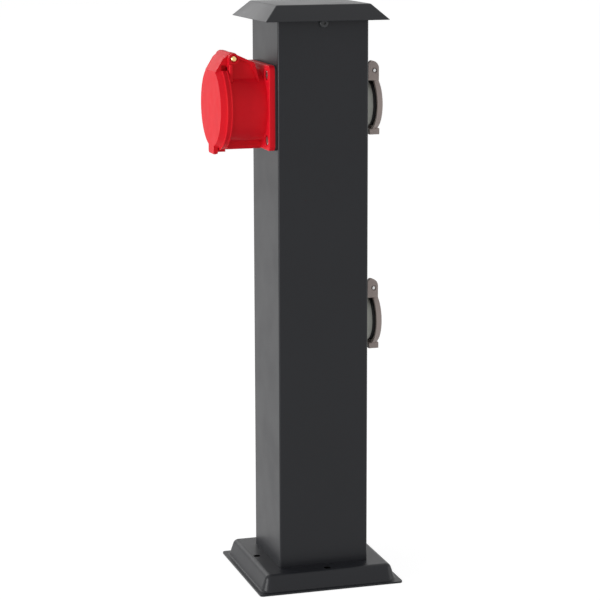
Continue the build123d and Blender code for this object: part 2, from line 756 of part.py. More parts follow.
with BuildPart() as red_flange_screws:
    with BuildSketch(red_face.offset(red_screw_seat)):
        with GridLocations(red_hole_spacing, red_hole_spacing, 2, 2):
            Circle(m4_head_radius)
    extrude(amount=m4_head_height)
    fillet(
        red_flange_screws.faces().filter_by(red_out).group_by(red_out)[-1].edges(), red_screw_head_round
    )
    with BuildSketch(red_face.offset(red_screw_seat)):
        with GridLocations(red_hole_spacing, red_hole_spacing, 2, 2):
            Circle(m4_radius)
    extrude(amount=-(red_screw_seat + m4_nut_length))
    with BuildSketch(red_face.offset(red_screw_seat + m4_head_height)):
        with GridLocations(red_hole_spacing, red_hole_spacing, 2, 2):
            Rectangle(cross_slot_length, cross_slot_width)
            Rectangle(cross_slot_width, cross_slot_length)
    extrude(amount=-cross_slot_depth, mode=Mode.SUBTRACT)
keep(red_flange_screws, "red_flange_screws")

red_pin_half = red_ear_outer + red_pin_proud
with BuildPart() as red_hinge_pin:
    with BuildSketch(side_plane(red_face, red_pin_half)):
        with Locations((red_pin_out, red_pin_up)):
            Circle(red_hinge_pin_radius)
    extrude(amount=2 * red_pin_half)
    chamfer(red_hinge_pin.faces().filter_by(Plane.XZ).edges(), red_pin_end_chamfer)
keep(red_hinge_pin, "red_hinge_pin")

# Red lid: flat round face, leaning wall, skirt, hinge hood above and finger tab below
red_lid_lean = math.degrees(math.atan2(red_lid_seam_radius - red_lid_face_radius, red_lid_face - red_lid_seam))
red_lid_inside = red_lid_face - red_lid_plate
with BuildPart() as red_lid:
    with BuildSketch(red_face.offset(red_lid_back)):
        Circle(red_skirt_radius)
    extrude(amount=red_lid_seam - red_lid_back)
    fillet(red_lid.faces().filter_by(red_out).edges(), red_skirt_edge_radius)
    with BuildSketch(red_face.offset(red_lid_seam)):
        Circle(red_lid_seam_radius)
    extrude(amount=red_lid_face - red_lid_seam, taper=red_lid_lean)
    with BuildSketch(side_plane(red_face, red_hood_half_width)):
        with BuildLine():
            Polyline(
                (red_lid_face, red_hood_face_up),
                (red_hood_slope_out, red_hood_slope_up),
                (red_lid_face, red_hood_slope_up),
                close=True,
            )
        make_face()
    extrude(amount=2 * red_hood_half_width, mode=Mode.SUBTRACT)
    with BuildSketch(side_plane(red_face, red_hood_half_width)):
        with BuildLine():
            Polyline(
                (red_lid_face, red_hood_root_up),
                (red_lid_face, red_hood_face_up),
                (red_hood_slope_out, red_hood_slope_up),
                (red_hood_shoulder_out, red_hood_shoulder_up),
                (red_pin_out, red_pin_up + red_hood_radius),
                (red_pin_out, red_pin_up - red_hood_radius),
                (red_hood_inner_out, red_hood_inner_up),
                (red_lid_seam, red_hood_root_up),
                close=True,
            )
        make_face()
        with Locations((red_pin_out, red_pin_up)):
            Circle(red_hood_radius)
    extrude(amount=2 * red_hood_half_width)
    with BuildSketch(red_face.offset(red_lid_face)) as red_tab_profile:
        with Locations((0, -red_tab_drop / 2)):
            Rectangle(2 * red_tab_half_width, red_tab_drop)
        fillet(red_tab_profile.vertices().group_by(Axis.Y)[0], red_tab_corner_radius)
    extrude(amount=-red_tab_depth)
    with BuildSketch(red_face.offset(red_nose_back)):
        with Locations((0, -(red_nose_drop + red_lid_face_radius) / 2)):
            Rectangle(2 * red_nose_half_width, red_nose_drop - red_lid_face_radius)
    extrude(amount=red_lid_inside - red_nose_back)
    with BuildSketch(red_face.offset(red_nose_back)):
        Circle(red_skirt_bore_radius)
    extrude(amount=red_lid_seam - red_nose_back, mode=Mode.SUBTRACT)
    with BuildSketch(red_face.offset(red_nose_back)):
        Circle(red_lid_bore_radius)
    extrude(amount=red_lid_inside - red_nose_back, mode=Mode.SUBTRACT)
    with BuildSketch(side_plane(red_face, red_slot_half_width)):
        with Locations((red_pin_out, red_pin_up)):
            Circle(red_slot_radius)
        with Locations((red_pin_out, red_pin_up - red_slot_drop / 2)):
            Rectangle(2 * red_slot_radius, red_slot_drop)
        with Locations((red_pin_out - red_slot_drop / 2, red_pin_up)):
            Rectangle(red_slot_drop, 2 * red_slot_drop)
    extrude(amount=2 * red_slot_half_width, mode=Mode.SUBTRACT)
    for notch_side in (red_notch_outer, -red_notch_inner):
        with BuildSketch(side_plane(red_face, notch_side)):
            with Locations(((red_lid_back + red_lid_seam) / 2, (red_notch_low + red_notch_high) / 2)):
                Rectangle(red_lid_seam - red_lid_back, red_notch_high - red_notch_low)
        extrude(amount=red_notch_outer - red_notch_inner, mode=Mode.SUBTRACT)
    with BuildSketch(side_plane(red_face, red_hood_half_width)):
        with Locations((red_pin_out, red_pin_up)):
            Circle(red_hinge_pin_radius + running_gap)
    extrude(amount=2 * red_hood_half_width, mode=Mode.SUBTRACT)
keep(red_lid, "red_lid")

with BuildPart() as red_lid_seal:
    with BuildSketch(red_face.offset(red_barrel_reach + fit_gap)):
        Circle(red_seal_outer_radius)
        Circle(red_seal_inner_radius, mode=Mode.SUBTRACT)
    extrude(amount=red_lid_inside - red_barrel_reach - fit_gap)
keep(red_lid_seal, "red_lid_seal")


def biarc(start, start_tangent, end, end_tangent):
    """Draw two arcs that meet smoothly and have the given points and unit tangents."""
    chord = end - start
    both = start_tangent + end_tangent
    spread = 2 * (1 - start_tangent.dot(end_tangent))
    reach = (math.sqrt(chord.dot(both) ** 2 + spread * chord.dot(chord)) - chord.dot(both)) / spread
    first = start + start_tangent * reach
    last = end - end_tangent * reach
    middle = (first + last) * 0.5
    TangentArc(start, middle, tangent=start_tangent)
    TangentArc(middle, end, tangent=(last - first).normalized())


def torsion_spring(face, pin_out, pin_up, radius, wire, pitch, turns, rest_end_up, lid_leg):
    """A coil round a hinge pin, its two legs pointing down on either side of the pin.

    It starts at the leg that rests on the housing, at the height rest_end_up, winds
    turns and a half along the pin, and ends in the leg that bears on the lid.
    """
    outward, upward, along = face.z_dir, face.y_dir, face.x_dir
    half_turns = 2 * turns + 1
    start_along = -half_turns * pitch / 4
    centre = face.origin + outward * pin_out + upward * pin_up

    def coil_point(number):
        side = -1 if number % 2 == 0 else 1
        return centre + outward * (side * radius) + along * (start_along + number * pitch / 2)

    def coil_tangent(number):
        sense = 1 if number % 2 == 0 else -1
        climb = 0 if number in (0, half_turns) else pitch / (2 * math.pi)
        return (upward * (sense * radius) + along * climb).normalized()

    with BuildPart() as spring:
        with BuildLine() as path:
            rest_end = coil_point(0) - upward * (pin_up - rest_end_up)
            Line(rest_end, coil_point(0))
            for number in range(half_turns):
                biarc(
                    coil_point(number), coil_tangent(number), coil_point(number + 1), coil_tangent(number + 1)
                )
            Line(coil_point(half_turns), coil_point(half_turns) - upward * lid_leg)
        with BuildSketch(Plane(origin=rest_end, z_dir=upward)):
            Circle(wire)
        sweep()

    samples_per_turn = 24
    samples = []
    for step in range(half_turns * samples_per_turn // 2 + 1):
        turn = math.pi - 2 * math.pi * step / samples_per_turn
        samples.append(
            Vector(radius * math.cos(turn), radius * math.sin(turn), pitch * step / samples_per_turn)
        )
    least = min(
        (samples[second] - samples[first]).length
        for first in range(len(samples))
        for second in range(first + samples_per_turn // 2, len(samples))
    )
    print(f"spring: least gap between curls {least - 2 * wire:.2f} mm")
    return spring


def leg_end_up(round_radius, pitch, turns, wire):
    """Height at which a spring's leg ends, just above the round housing below it."""
    across = (2 * turns + 1) * pitch / 4 - wire
    return math.sqrt(round_radius**2 - across**2) + face_gap


red_lid_spring = torsion_spring(
    red_face,
    red_pin_out,
    red_pin_up,
    red_spring_radius,
    red_spring_wire_radius,
    red_spring_pitch,
    red_spring_turns,
    leg_end_up(red_barrel_radius, red_spring_pitch, red_spring_turns, red_spring_wire_radius),
    red_spring_lid_leg,
)
keep(red_lid_spring, "red_lid_spring")

# Outlets: each is built on its own plane of the right face
outlet_insert_back = outlet_floor_out - outlet_insert_thickness
outlet_sleeve_back = outlet_insert_back - outlet_sleeve_tail
outlet_lid_inside = outlet_lid_front - outlet_lid_plate
outlet_lid_lean = math.degrees(
    math.atan2(outlet_lid_back_radius - outlet_lid_front_radius, outlet_lid_front - outlet_lid_back)
)
outlet_half_spacing = outlet_contact_spacing / 2

for side, face in outlet_faces.items():
    outward = Axis(face.origin, face.z_dir)

    with BuildPart() as housing:
        with BuildSketch(face.offset(outlet_gasket_sheet)):
            RectangleRounded(outlet_flange_width, outlet_flange_width, outlet_flange_corner_radius)
            with Locations((0, outlet_tongue_up / 2)):
                Rectangle(2 * outlet_block_half_width, outlet_tongue_up)
        extrude(amount=outlet_flange_thickness)
        with BuildSketch(face.offset(outlet_flange_front)):
            Circle(outlet_collar_radius)
        extrude(amount=outlet_collar_reach - outlet_flange_front)
        fillet(housing.faces().sort_by(outward)[-1].edges(), outlet_collar_edge_radius)
        with BuildSketch(side_plane(face, outlet_block_half_width)):
            with Locations((outlet_pin_out, outlet_pin_up)):
                Circle(outlet_knuckle_radius)
            with Locations((outlet_pin_out / 2 + outlet_gasket_sheet / 2, outlet_pin_up)):
                Rectangle(outlet_pin_out - outlet_gasket_sheet, 2 * outlet_knuckle_radius)
        extrude(amount=2 * outlet_block_half_width)
        with BuildSketch(side_plane(face, outlet_spring_slot_half_width)):
            with Locations((outlet_flange_front + outlet_pin_out / 2, outlet_pin_up)):
                Rectangle(outlet_pin_out, 2 * (outlet_knuckle_radius + fit_gap))
        extrude(amount=2 * outlet_spring_slot_half_width, mode=Mode.SUBTRACT)
        with BuildSketch(face.offset(outlet_gasket_sheet)):
            Circle(outlet_rear_radius)
        extrude(amount=-(outlet_gasket_sheet - outlet_insert_back))
        with BuildSketch(face.offset(outlet_collar_reach)):
            Circle(outlet_bore_radius)
        extrude(amount=-(outlet_collar_reach - outlet_insert_back), mode=Mode.SUBTRACT)
        with BuildSketch(side_plane(face, outlet_block_half_width)):
            with Locations((outlet_pin_out, outlet_pin_up)):
                Circle(outlet_hinge_pin_radius + running_gap)
        extrude(amount=2 * outlet_block_half_width, mode=Mode.SUBTRACT)
        with Locations(face.offset(outlet_flange_front)):
            with GridLocations(outlet_hole_spacing, outlet_hole_spacing, 2, 2):
                CounterSinkHole(
                    outlet_screw_radius + fit_gap,
                    outlet_screw_head_radius + fit_gap,
                    outlet_flange_thickness + cut_overrun,
                    outlet_screw_head_angle,
                )
    keep(housing, f"{side}_housing")

    with BuildPart() as gasket:
        with BuildSketch(face):
            RectangleRounded(outlet_flange_width, outlet_flange_width, outlet_flange_corner_radius)
            with Locations((0, outlet_tongue_up / 2)):
                Rectangle(2 * outlet_block_half_width, outlet_tongue_up)
            Circle(outlet_rear_radius + face_gap, mode=Mode.SUBTRACT)
            with GridLocations(outlet_hole_spacing, outlet_hole_spacing, 2, 2):
                Circle(outlet_nut_head_radius + face_gap, mode=Mode.SUBTRACT)
        extrude(amount=outlet_gasket_sheet)
    keep(gasket, f"{side}_gasket")

    with BuildPart() as insert:
        with BuildSketch(face.offset(outlet_floor_out)):
            Circle(outlet_bore_radius - fit_gap)
        extrude(amount=-outlet_insert_thickness)
        with BuildSketch(face.offset(outlet_floor_out)):
            with GridLocations(outlet_contact_spacing, 0, 2, 1):
                Circle(outlet_contact_bore_radius + fit_gap)
        extrude(amount=-outlet_insert_lip, mode=Mode.SUBTRACT)
        with BuildSketch(face.offset(outlet_insert_back)):
            with GridLocations(outlet_half_spacing, 0, 3, 1):
                Circle(outlet_sleeve_radius + thread_gap)
        extrude(amount=outlet_insert_thickness - outlet_insert_lip, mode=Mode.SUBTRACT)
    keep(insert, f"{side}_insert")

    with BuildPart() as earth_clips:
        for sign in (1, -1):
            with BuildSketch(side_plane(face, outlet_clip_width / 2)):
                with BuildLine():
                    Polyline(
                        (outlet_floor_out, sign * outlet_clip_foot_up),
                        (outlet_clip_nose_out, sign * outlet_clip_nose_up),
                        (outlet_clip_tip_out, sign * outlet_clip_foot_up),
                        (outlet_clip_tip_out, sign * (outlet_clip_foot_up + outlet_clip_sheet)),
                        (outlet_clip_nose_out, sign * (outlet_clip_nose_up + outlet_clip_sheet)),
                        (outlet_floor_out, sign * (outlet_clip_foot_up + outlet_clip_sheet)),
                        close=True,
                    )
                make_face()
            extrude(amount=outlet_clip_width)
    keep(earth_clips, f"{side}_earth_clips")

    with BuildPart() as contact_sleeves:
        sleeve_length = outlet_insert_thickness - outlet_insert_lip - fit_gap + outlet_sleeve_tail
        with BuildSketch(face.offset(outlet_sleeve_back)):
            with GridLocations(outlet_half_spacing, 0, 3, 1):
                Circle(outlet_sleeve_radius)
        extrude(amount=sleeve_length)
        with BuildSketch(face.offset(outlet_sleeve_back + sleeve_length)):
            with GridLocations(outlet_contact_spacing, 0, 2, 1):
                Circle(outlet_contact_bore_radius)
        extrude(amount=-(sleeve_length - outlet_sleeve_tail - wire_grip / 2), mode=Mode.SUBTRACT)
        with BuildSketch(face.offset(outlet_sleeve_back)):
            with GridLocations(outlet_half_spacing, 0, 3, 1):
                Circle(wire_radius + face_gap)
        extrude(amount=wire_grip + cut_overrun, mode=Mode.SUBTRACT)
        clamp_plane = Plane(
            origin=face.offset(outlet_sleeve_back + outlet_sleeve_tail / 2).origin,
            x_dir=face.x_dir,
            z_dir=-face.y_dir,
        )
        with BuildSketch(clamp_plane):
            with GridLocations(outlet_half_spacing, 0, 3, 1):
                Circle(clamp_screw_radius + thread_gap)
        extrude(amount=outlet_sleeve_radius + cut_overrun, mode=Mode.SUBTRACT)
    keep(contact_sleeves, f"{side}_contact_sleeves")

    with BuildPart() as terminal_screws:
        with BuildSketch(clamp_plane.offset(wire_radius + fit_gap)):
            with GridLocations(outlet_half_spacing, 0, 3, 1):
                Circle(clamp_screw_radius)
        extrude(amount=clamp_screw_length)
    keep(terminal_screws, f"{side}_terminal_screws")

    with BuildPart() as flange_screws:
        with BuildSketch(face.offset(outlet_flange_front)):
            with GridLocations(outlet_hole_spacing, outlet_hole_spacing, 2, 2):
                Circle(outlet_screw_head_radius)
        extrude(amount=-(outlet_screw_head_radius - outlet_screw_radius), taper=outlet_screw_head_angle / 2)
        with BuildSketch(face.offset(outlet_flange_front)):
            with GridLocations(outlet_hole_spacing, outlet_hole_spacing, 2, 2):
                Circle(outlet_screw_radius)
        extrude(amount=-outlet_screw_length)
        with BuildSketch(face.offset(outlet_flange_front)):
            with GridLocations(outlet_hole_spacing, outlet_hole_spacing, 2, 2):
                Rectangle(cross_slot_length, cross_slot_width)
                Rectangle(cross_slot_width, cross_slot_length)
        extrude(amount=-cross_slot_depth, mode=Mode.SUBTRACT)
    keep(flange_screws, f"{side}_flange_screws")

    pin_half = outlet_cheek_outer + outlet_pin_proud
    with BuildPart() as hinge_pin:
        with BuildSketch(side_plane(face, pin_half)):
            with Locations((outlet_pin_out, outlet_pin_up)):
                Circle(outlet_hinge_pin_radius)
        extrude(amount=2 * pin_half)
        chamfer(hinge_pin.faces().filter_by(Plane.XZ).edges(), outlet_pin_end_chamfer)
    keep(hinge_pin, f"{side}_hinge_pin")

    lid_spring = torsion_spring(
        face,
        outlet_pin_out,
        outlet_pin_up,
        outlet_spring_radius,
        outlet_spring_wire_radius,
        outlet_spring_pitch,
        outlet_spring_turns,
        leg_end_up(outlet_collar_radius, outlet_spring_pitch, outlet_spring_turns, outlet_spring_wire_radius),
        outlet_pin_up - outlet_bar_top - face_gap,
    )
    keep(lid_spring, f"{side}_lid_spring")

    with BuildPart() as lid:
        with BuildSketch(face.offset(outlet_lid_back)):
            Circle(outlet_lid_back_radius)
        extrude(amount=outlet_lid_front - outlet_lid_back, taper=outlet_lid_lean)
        fillet(lid.faces().sort_by(outward)[-1].edges(), outlet_lid_edge_radius)
        with BuildSketch(face.offset(outlet_lid_back)):
            with Locations((0, (outlet_bar_top + outlet_cheek_low) / 2)):
                Rectangle(2 * outlet_cheek_outer, outlet_bar_top - outlet_cheek_low)
        extrude(amount=outlet_cheek_front - outlet_lid_back)
        for cheek_side in (outlet_cheek_outer, -outlet_cheek_inner):
            with BuildSketch(side_plane(face, cheek_side)):
                with BuildLine():
                    Polyline(
                        (outlet_cheek_front - outlet_cheek_corner_radius, outlet_cheek_top),
                        (outlet_cheek_back + outlet_cheek_chamfer, outlet_cheek_top),
                        (outlet_cheek_back, outlet_cheek_top - outlet_cheek_chamfer),
                        (outlet_cheek_back, outlet_cheek_low),
                        (outlet_cheek_front, outlet_cheek_low),
                        (outlet_cheek_front, outlet_cheek_top - outlet_cheek_corner_radius),
                    )
                    RadiusArc(
                        (outlet_cheek_front, outlet_cheek_top - outlet_cheek_corner_radius),
                        (outlet_cheek_front - outlet_cheek_corner_radius, outlet_cheek_top),
                        -outlet_cheek_corner_radius,
                    )
                make_face()
            extrude(amount=outlet_cheek_outer - outlet_cheek_inner)
        with BuildSketch(face.offset(outlet_tab_back)):
            with Locations((0, -(outlet_tab_low + outlet_tab_high) / 2)):
                RectangleRounded(
                    2 * outlet_tab_half_width, outlet_tab_low - outlet_tab_high, outlet_tab_edge_radius
                )
        extrude(amount=outlet_tab_front - outlet_tab_back)
        with BuildSketch(face.offset(outlet_lid_back)):
            Circle(outlet_lid_bore_radius)
        extrude(amount=outlet_lid_inside - outlet_lid_back, mode=Mode.SUBTRACT)
        with BuildSketch(face.offset(outlet_tab_back)):
            Circle(outlet_lid_bore_radius)
        extrude(amount=outlet_lid_back - outlet_tab_back, mode=Mode.SUBTRACT)
        with BuildSketch(side_plane(face, outlet_cheek_outer)):
            with Locations((outlet_pin_out, outlet_pin_up)):
                Circle(outlet_hinge_pin_radius + running_gap)
        extrude(amount=2 * outlet_cheek_outer, mode=Mode.SUBTRACT)
        for recess_side in (outlet_cheek_outer, outlet_pin_recess_depth - outlet_cheek_outer):
            with BuildSketch(side_plane(face, recess_side)):
                with Locations((outlet_pin_out, outlet_pin_up)):
                    Circle(outlet_pin_recess_radius)
            extrude(amount=outlet_pin_recess_depth, mode=Mode.SUBTRACT)
    keep(lid, f"{side}_lid")

    with BuildPart() as lid_seal:
        with BuildSketch(face.offset(outlet_collar_reach + fit_gap)):
            Circle(outlet_seal_outer_radius)
            Circle(outlet_seal_inner_radius, mode=Mode.SUBTRACT)
        extrude(amount=outlet_lid_inside - outlet_collar_reach - fit_gap)
    keep(lid_seal, f"{side}_lid_seal")

with BuildPart() as outlet_rivet_nuts:
    for face in outlet_faces.values():
        with BuildSketch(face):
            with GridLocations(outlet_hole_spacing, outlet_hole_spacing, 2, 2):
                Circle(outlet_nut_head_radius)
        extrude(amount=outlet_nut_head)
        with BuildSketch(face):
            with GridLocations(outlet_hole_spacing, outlet_hole_spacing, 2, 2):
                Circle(outlet_nut_body_radius)
        extrude(amount=-outlet_nut_length)
        with BuildSketch(face.offset(outlet_nut_head)):
            with GridLocations(outlet_hole_spacing, outlet_hole_spacing, 2, 2):
                Circle(outlet_screw_radius + thread_gap)
        extrude(amount=-(outlet_nut_head + outlet_nut_length), mode=Mode.SUBTRACT)
keep(outlet_rivet_nuts, "outlet_rivet_nuts")

# Terminal bracket: an upright sheet with a foot on the foot bracket's floor
upright_back = -bore_half + foot_bracket_sheet + fit_gap
upright_front = upright_back + terminal_bracket_sheet
rail_front = upright_front + rail_depth
with BuildPart() as terminal_bracket:
    with BuildSketch(Plane.XY.offset(foot_floor)):
        with Locations((upright_back + terminal_bracket_foot / 2, 0)):
            Rectangle(terminal_bracket_foot, 2 * terminal_bracket_half_foot)
    extrude(amount=terminal_bracket_sheet)
    with BuildSketch(Plane.XY.offset(foot_floor)):
        with Locations((upright_back + terminal_bracket_sheet / 2, 0)):
            Rectangle(terminal_bracket_sheet, 2 * terminal_bracket_half_width)
    extrude(amount=terminal_bracket_top - foot_floor)
    with BuildSketch(Plane.XY.offset(foot_floor)):
        with Locations((bracket_screw_x, 0)):
            with GridLocations(0, 2 * bracket_screw_half_spacing, 1, 2):
                Circle(m4_radius + fit_gap)
    extrude(amount=terminal_bracket_sheet, mode=Mode.SUBTRACT)
    with BuildSketch(Plane.YZ.offset(upright_back)):
        with Locations((0, rail_centre_height)):
            with GridLocations(2 * rail_screw_half_spacing, 0, 2, 1):
                Circle(m4_radius + thread_gap)
    extrude(amount=terminal_bracket_sheet, mode=Mode.SUBTRACT)
keep(terminal_bracket, "terminal_bracket")

with BuildPart() as mounting_rail:
    with BuildSketch(Plane.XZ):
        with Locations((upright_front + rail_sheet / 2, rail_centre_height)):
            Rectangle(rail_sheet, rail_channel)
        with Locations((upright_front + rail_depth / 2, rail_centre_height)):
            with GridLocations(0, rail_channel - rail_sheet, 1, 2):
                Rectangle(rail_depth, rail_sheet)
        with Locations((rail_front - rail_sheet / 2, rail_centre_height)):
            with GridLocations(0, (rail_height + rail_channel) / 2 - rail_sheet, 1, 2):
                Rectangle(rail_sheet, (rail_height - rail_channel) / 2 + rail_sheet)
    extrude(amount=rail_length / 2, both=True)
    with BuildSketch(Plane.YZ.offset(upright_front)):
        with Locations((0, rail_centre_height)):
            with GridLocations(2 * rail_screw_half_spacing, 0, 2, 1):
                Circle(m4_radius + fit_gap)
    extrude(amount=rail_sheet, mode=Mode.SUBTRACT)
keep(mounting_rail, "mounting_rail")

# Four alike screws: two hold the bracket's foot, two hold the rail
floor_screw_plane = Plane(
    origin=(bracket_screw_x, 0, foot_floor + terminal_bracket_sheet), x_dir=(0, 1, 0), z_dir=(0, 0, 1)
)
rail_screw_plane = Plane(
    origin=(upright_front + rail_sheet, 0, rail_centre_height), x_dir=(0, 1, 0), z_dir=(1, 0, 0)
)
screw_rows = ((floor_screw_plane, bracket_screw_half_spacing), (rail_screw_plane, rail_screw_half_spacing))
bracket_screw_length = terminal_bracket_sheet + foot_bracket_sheet - fit_gap
with BuildPart() as bracket_screws:
    for screw_plane, half_spacing in screw_rows:
        with BuildSketch(screw_plane):
            with GridLocations(2 * half_spacing, 0, 2, 1):
                Circle(m4_head_radius)
        extrude(amount=m4_head_height)
        with BuildSketch(screw_plane):
            with GridLocations(2 * half_spacing, 0, 2, 1):
                Circle(m4_radius)
        extrude(amount=-bracket_screw_length)
        with BuildSketch(screw_plane.offset(m4_head_height)):
            with GridLocations(2 * half_spacing, 0, 2, 1):
                Rectangle(cross_slot_length, cross_slot_width)
                Rectangle(cross_slot_width, cross_slot_length)
        extrude(amount=-cross_slot_depth, mode=Mode.SUBTRACT)
keep(bracket_screws, "bracket_screws")

# Terminals: five poles side by side on the rail, each with a brass bar inside
pole_row = {"neutral": -2, "third": -1, "earth": 0, "second": 1, "first": 2}
pole_y = {pole: place * terminal_pitch for pole, place in pole_row.items()}
terminal_front = rail_front + terminal_depth
bar_back = rail_front + terminal_bar_rear_inset
bar_front = terminal_front - terminal_bar_front_inset
bar_length = bar_front - bar_back
bar_top = rail_centre_height + terminal_bar_height / 2
bar_bottom = rail_centre_height - terminal_bar_height / 2
terminal_top = rail_centre_height + terminal_height / 2
terminal_bottom = rail_centre_height - terminal_height / 2
entry_x = [rail_front + terminal_entry_back + number * terminal_entry_pitch for number in range(3)]


def terminal_body(poles):
    """Insulating bodies of the named poles, hollow for the bar, the wires and the screws."""
    with BuildPart() as body:
        for pole in poles:
            y = pole_y[pole]
            with BuildSketch(Plane.XZ.offset(-y)):
                with Locations((rail_front + terminal_depth / 2, rail_centre_height)):
                    RectangleRounded(terminal_depth, terminal_height, terminal_edge_radius)
            extrude(amount=terminal_width / 2, both=True)
            with BuildSketch(Plane.XZ.offset(-y)):
                with Locations(((bar_back + bar_front) / 2, rail_centre_height)):
                    Rectangle(bar_length + 2 * fit_gap, terminal_bar_height + 2 * fit_gap)
            extrude(amount=terminal_bar_width / 2 + thread_gap, both=True, mode=Mode.SUBTRACT)
            with BuildSketch(Plane.XY.offset(terminal_top)):
                with Locations(*[(x, y) for x in entry_x]):
                    Circle(terminal_hole_radius)
            extrude(amount=-(terminal_top - bar_top), mode=Mode.SUBTRACT)
            with BuildSketch(Plane.XY.offset(terminal_bottom)):
                with Locations((entry_x[1], y)):
                    Circle(terminal_supply_hole_radius)
                with Locations((entry_x[2], y)):
                    Circle(terminal_hole_radius)
            extrude(amount=bar_bottom - terminal_bottom, mode=Mode.SUBTRACT)
            with BuildSketch(Plane.YZ.offset(terminal_front)):
                with Locations((y, rail_centre_height)):
                    with GridLocations(0, terminal_screw_spacing, 1, 2):
                        Circle(terminal_screw_radius + fit_gap)
            extrude(amount=-terminal_bar_front_inset, mode=Mode.SUBTRACT)
    return body


keep(terminal_body(["third", "second", "first"]), "phase_terminals")
keep(terminal_body(["neutral"]), "neutral_terminal")
keep(terminal_body(["earth"]), "earth_terminal")

with BuildPart() as terminal_bars:
    for y in pole_y.values():
        with BuildSketch(Plane.XZ.offset(-y)):
            with Locations(((bar_back + bar_front) / 2, rail_centre_height)):
                Rectangle(bar_length, terminal_bar_height)
        extrude(amount=terminal_bar_width / 2, both=True)
keep(terminal_bars, "terminal_bars")

with BuildPart() as terminal_screws:
    with BuildSketch(Plane.YZ.offset(bar_front)):
        with Locations((0, rail_centre_height)):
            with GridLocations(terminal_pitch, terminal_screw_spacing, len(pole_y), 2):
                Circle(terminal_screw_radius)
    extrude(amount=terminal_bar_front_inset - terminal_screw_recess)
    with BuildSketch(Plane.YZ.offset(terminal_front - terminal_screw_recess)):
        with Locations((0, rail_centre_height)):
            with GridLocations(terminal_pitch, terminal_screw_spacing, len(pole_y), 2):
                Rectangle(2 * terminal_screw_radius, cross_slot_width)
    extrude(amount=-terminal_screw_recess, mode=Mode.SUBTRACT)
keep(terminal_screws, "terminal_screws")

end_stop_y = pole_y["first"] + terminal_pitch / 2 + fit_gap + end_stop_width / 2
with BuildPart() as rail_end_stops:
    with BuildSketch(Plane.YZ.offset(rail_front)):
        with Locations((0, rail_centre_height)):
            with GridLocations(2 * end_stop_y, 0, 2, 1):
                RectangleRounded(end_stop_width, rail_height, terminal_edge_radius)
    extrude(amount=end_stop_depth)
keep(rail_end_stops, "rail_end_stops")

# Earth lug on the foot bracket's floor, with an upright barrel for its wire
lug_top = foot_floor + earth_lug_sheet
with BuildPart() as earth_lug:
    with BuildSketch(Plane.XY.offset(foot_floor)):
        with Locations((earth_lug_x, earth_screw_y)):
            Circle(earth_lug_radius)
        with Locations((earth_lug_x, (earth_screw_y + earth_barrel_y) / 2)):
            Rectangle(2 * earth_barrel_radius, earth_screw_y - earth_barrel_y)
        with Locations((earth_lug_x, earth_barrel_y)):
            Circle(earth_barrel_radius)
        with Locations((earth_lug_x, earth_screw_y)):
            Circle(m4_radius + fit_gap, mode=Mode.SUBTRACT)
    extrude(amount=earth_lug_sheet)
    with BuildSketch(Plane.XY.offset(lug_top)):
        with Locations((earth_lug_x, earth_barrel_y)):
            Circle(earth_barrel_radius)
            Circle(wire_radius + fit_gap, mode=Mode.SUBTRACT)
    extrude(amount=earth_barrel_height)
keep(earth_lug, "earth_lug")

with BuildPart() as earth_screw:
    with BuildSketch(Plane.XY.offset(lug_top)):
        with Locations((earth_lug_x, earth_screw_y)):
            Circle(m4_head_radius)
    extrude(amount=m4_head_height)
    with BuildSketch(Plane.XY.offset(lug_top)):
        with Locations((earth_lug_x, earth_screw_y)):
            Circle(m4_radius)
    extrude(amount=-(earth_lug_sheet + foot_bracket_sheet))
    with BuildSketch(Plane.XY.offset(lug_top + m4_head_height)):
        with Locations((earth_lug_x, earth_screw_y)):
            Rectangle(cross_slot_length, cross_slot_width)
            Rectangle(cross_slot_width, cross_slot_length)
    extrude(amount=-cross_slot_depth, mode=Mode.SUBTRACT)
keep(earth_screw, "earth_screw")


def wire_radii(points):
    """Largest bend at each corner that the shorter of its two runs leaves room for."""
    radii = []
    for before, corner, after in zip(points, points[1:], points[2:]):
        turn = math.radians((corner - before).get_angle(after - corner))
        shorter = min((corner - before).length, (after - corner).length)
        radii.append(wire_corner_share * shorter / math.tan(turn / 2))
    return radii


def wires(routes, name):
    """Sweep one wire along each route, as straight runs joined by tangent arcs."""
    with BuildPart() as bundle:
        for route in routes:
            points = [Vector(*point) for point in route]
            radii = wire_radii(points)
            print(f"{name}: bend radii {', '.join(f'{radius:.1f}' for radius in radii)} mm")
            with BuildLine() as path:
                FilletPolyline(*points, radius=radii)
            with BuildSketch(Plane(origin=points[0], z_dir=points[1] - points[0])):
                Circle(wire_radius)
            sweep(path=path.wires()[0])
    keep(bundle, name)


def red_route(number, pole):
    """Route from a contact of the red socket down to the first entry of a pole."""
    turn = contact_angle(number)
    y = -red_contact_circle_radius * math.cos(turn)
    z = red_height + red_contact_circle_radius * math.sin(turn)
    return [
        (-column_half - red_sleeve_back - wire_grip, y, z),
        (wire_red_lane, y, z),
        (wire_red_lane, y, wire_drift_top),
        (entry_x[0], pole_y[pole], wire_drift_bottom),
        (entry_x[0], pole_y[pole], bar_top + face_gap),
    ]


def outlet_route(side, across, pole):
    """Route from a contact of an outlet down to its own entry of a pole."""
    height = outlet_heights[side]
    start = [(column_half + outlet_sleeve_back + wire_grip, across, height), (entry_x[2], across, height)]
    if side == "upper":
        return start + [
            (entry_x[2], across, wire_drift_top),
            (entry_x[1], pole_y[pole], wire_drift_bottom),
            (entry_x[1], pole_y[pole], bar_top + face_gap),
        ]
    drift = []
    if across != pole_y[pole]:
        drift = [
            (entry_x[2], across, wire_drift_lower_top),
            (entry_x[2], pole_y[pole], wire_drift_lower_bottom),
        ]
    return start + drift + [(entry_x[2], pole_y[pole], bar_top + face_gap)]


